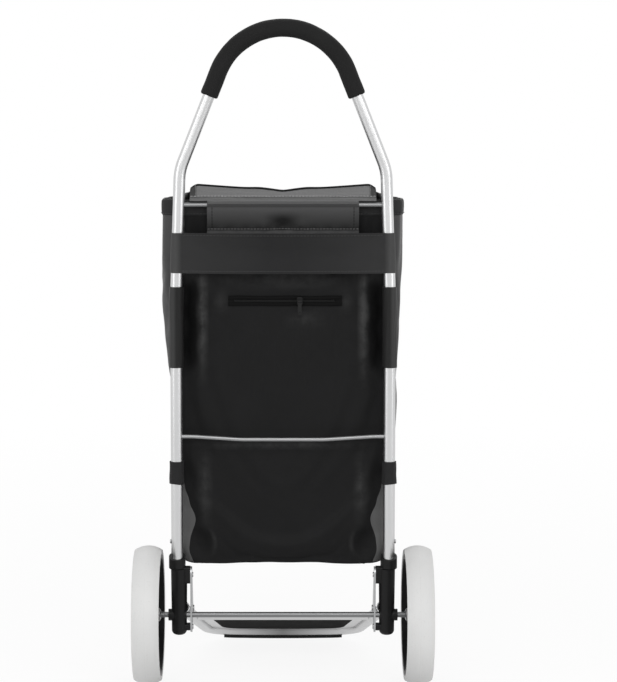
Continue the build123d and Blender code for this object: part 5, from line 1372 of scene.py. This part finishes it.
# Painted highlight: the flap's lower seam takes a pale thread for the black thread's sheen.
rows_sewn.append(stitch_row("flap_low_stitches", seam_row, REARWARD, cloth="thread_painted_highlight"))
for name, row in (("low", welt_grid[1]), ("top", welt_grid[-2])):
    zip_takes = {"slot": "zip_tape", "cloth": "zip_tape"}
    rows_sewn.append(stitch_row(f"zip_{name}_stitches", row, REARWARD, **zip_takes))
for name, side in HANDS:
    rows_sewn.append(stitch_row(f"lid_{name}_stitches", border_seam(side), UPWARD, **LID_TAKES))
# Painted highlight: the hinge seam takes a pale thread for the black thread's sheen.
hinge_line = [p + Vector((0, 0, 0.0003)) for p in strip_grid[-2]]
hinge_takes = {"slot": "lid_cloth", "cloth": "hinge_thread_painted_highlight"}
rows_sewn.append(stitch_row("hinge_stitches", hinge_line, UPWARD, **hinge_takes))
print("stitches", sum(rows_sewn), "in", len(rows_sewn), "rows")

# %% [markdown]
# The hem's stitches run right round the mouth, a little above its lower edge. They are placed
# on the outer side of the hem, which faces another way at every step.

# %% The hem's stitches
hem_line = [p + outwards(top_ring, k) * 0.0003 for k, p in enumerate(hem_grid[1])]
hem_line.append(hem_line[0])
hem_stops = walk(hem_line, round(lengths_along(hem_line)[-1] / STITCH_PITCH))
hem_places = []
for k, p in enumerate(hem_stops):
    ahead = hem_stops[(k + 1) % len(hem_stops)]
    way = (ahead - p).normalized()
    out = outwards(hem_stops, k)
    turn = Matrix((way, way.cross(out) * -1, out)).transposed().to_4x4()
    hem_places.append(Matrix.Translation(p.lerp(ahead, 0.5)) @ turn)
copies("hem_stitches", stitch, hem_places, cloths["sewing_thread"])
bpy.data.objects.remove(stitch)
print("hem stitches", len(hem_places))

# %% [markdown]
# The grip is a sleeve of foam. A copy of its solid is merged and remeshed into even cells, and
# a slow noise presses it in and out by a fraction of a millimetre, as soft foam lies on a tube.

# %% The foam grip
grip = nodes["handle_grip"].copy()
grip.data = nodes["handle_grip"].data.copy()
grip.name = "foam_grip"
bpy.context.scene.collection.objects.link(grip)
pick(grip)
on_whole_mesh(bpy.ops.mesh.remove_doubles, threshold=0.00002)
cells = grip.modifiers.new("cells", "REMESH")
cells.mode, cells.voxel_size = "VOXEL", 0.0021
waves = bpy.data.textures.new("foam_waves", "CLOUDS")
waves.noise_scale = 0.022
press = grip.modifiers.new("press", "DISPLACE")
press.texture, press.texture_coords = waves, "LOCAL"
press.strength, press.mid_level = 0.0009, 0.62
soft = grip.modifiers.new("soft", "SMOOTH")
soft.iterations = 3
apply("cells", "press", "soft")
bpy.ops.object.shade_smooth()
grip.data.materials.clear()
grip.data.materials.append(grip_foam)
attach(grip, "frame")
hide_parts("handle_grip")
print("grip", len(grip.data.polygons), "faces")

# %% [markdown]
# When the foot folds up it pushes into the bag from below, and the real cloth crumples. The
# front, the sides, the base, the back panel's lower part and the loops, which give way to it,
# each get a mesh of their own.

# %% Cloth that gives way to the foot
for name in ("bag_front", "bag_right_side", "bag_left_side", "bag_floor"):
    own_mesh(panels[name])
for piece in (panels["bag_back_lower"], wraps["right", "loop"], wraps["left", "loop"]):
    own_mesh(piece)

# %% [markdown]
# The floor is plain and pale. The camera sees it and the sky as white, while the object keeps
# plain soft light: one wide lamp above the camera, one behind, and a tall lamp at each side
# that draws the bright lines down the tubes.

# %% Floor, sky and lamps
SEEN = ("Is Camera Ray", "Is Glossy Ray", "Is Transmission Ray")
NEAR_GLOW = 0.90


def seen_directly(tree):
    """1 for rays from the camera and for mirror-like rays, 0 for light that only bounces."""
    rays = tree.nodes.new("ShaderNodeLightPath")
    camera, glossy, through = (Field(rays.outputs[name]) for name in SEEN)
    return camera.maths("MAXIMUM", camera.maths("MAXIMUM", camera, glossy), through)


sky = bpy.data.worlds.new("sky")
bpy.context.scene.world = sky
sky.use_nodes = True
sky_light = sky.node_tree.nodes["Background"]
sky_light.inputs["Color"].default_value = (1, 1, 1, 1)
SKY_FILL = 0.55
strength = seen_directly(sky.node_tree) * (1 - SKY_FILL) + SKY_FILL
sky.node_tree.links.new(strength.socket, sky_light.inputs["Strength"])

bpy.ops.object.select_all(action="DESELECT")
bpy.ops.mesh.primitive_plane_add(size=30)
floor = bpy.context.object
floor.name = "floor"
floor_paint, place, _ = new_finish("floor_paint", Roughness=0.9, Specular_IOR_Level=0.0)
feed(floor_paint, Base_Color=place.noise(0.6).mix(grey(0.90), grey(0.92)))
floor_tree = floor_paint.node_tree
glow = place.node("ShaderNodeEmission", None, {"Color": (1, 1, 1, 1), "Strength": 1.0})
painted = Field(floor_tree.nodes["Principled BSDF"].outputs[0])
away = (place.part(0) ** 2 + place.part(1) ** 2) ** 0.5
share = (away / 3.0).ramp((0.2, NEAR_GLOW), (0.8, 1.0)) * seen_directly(floor_tree)
whitened = place.node("ShaderNodeMixShader", None, {0: share, 1: painted, 2: glow})
floor_tree.links.new(whitened.socket, floor_tree.nodes["Material Output"].inputs["Surface"])
floor.data.materials.append(floor_paint)


def lamp(name, spot, aim, size, power):
    data = bpy.data.lights.new(name, "AREA")
    data.shape = "RECTANGLE"
    data.size, data.size_y = size
    data.energy = power
    thing = bpy.data.objects.new(name, data)
    thing.location = spot
    thing.rotation_euler = (Vector(aim) - Vector(spot)).to_track_quat("-Z", "Y").to_euler()
    bpy.context.scene.collection.objects.link(thing)


lamp("key", (0.0, -2.9, 2.2), (0, 0, 0.5), (3.4, 2.0), 46)
lamp("back", (0.0, 2.0, 2.4), (0, 0, 0.6), (2.6, 1.4), 18)
lamp("left", (-2.0, -1.35, 1.2), (0, 0, 0.5), (0.7, 2.2), 10)
lamp("right", (2.0, -1.35, 1.2), (0, 0, 0.5), (0.7, 2.2), 10)
print("lit")
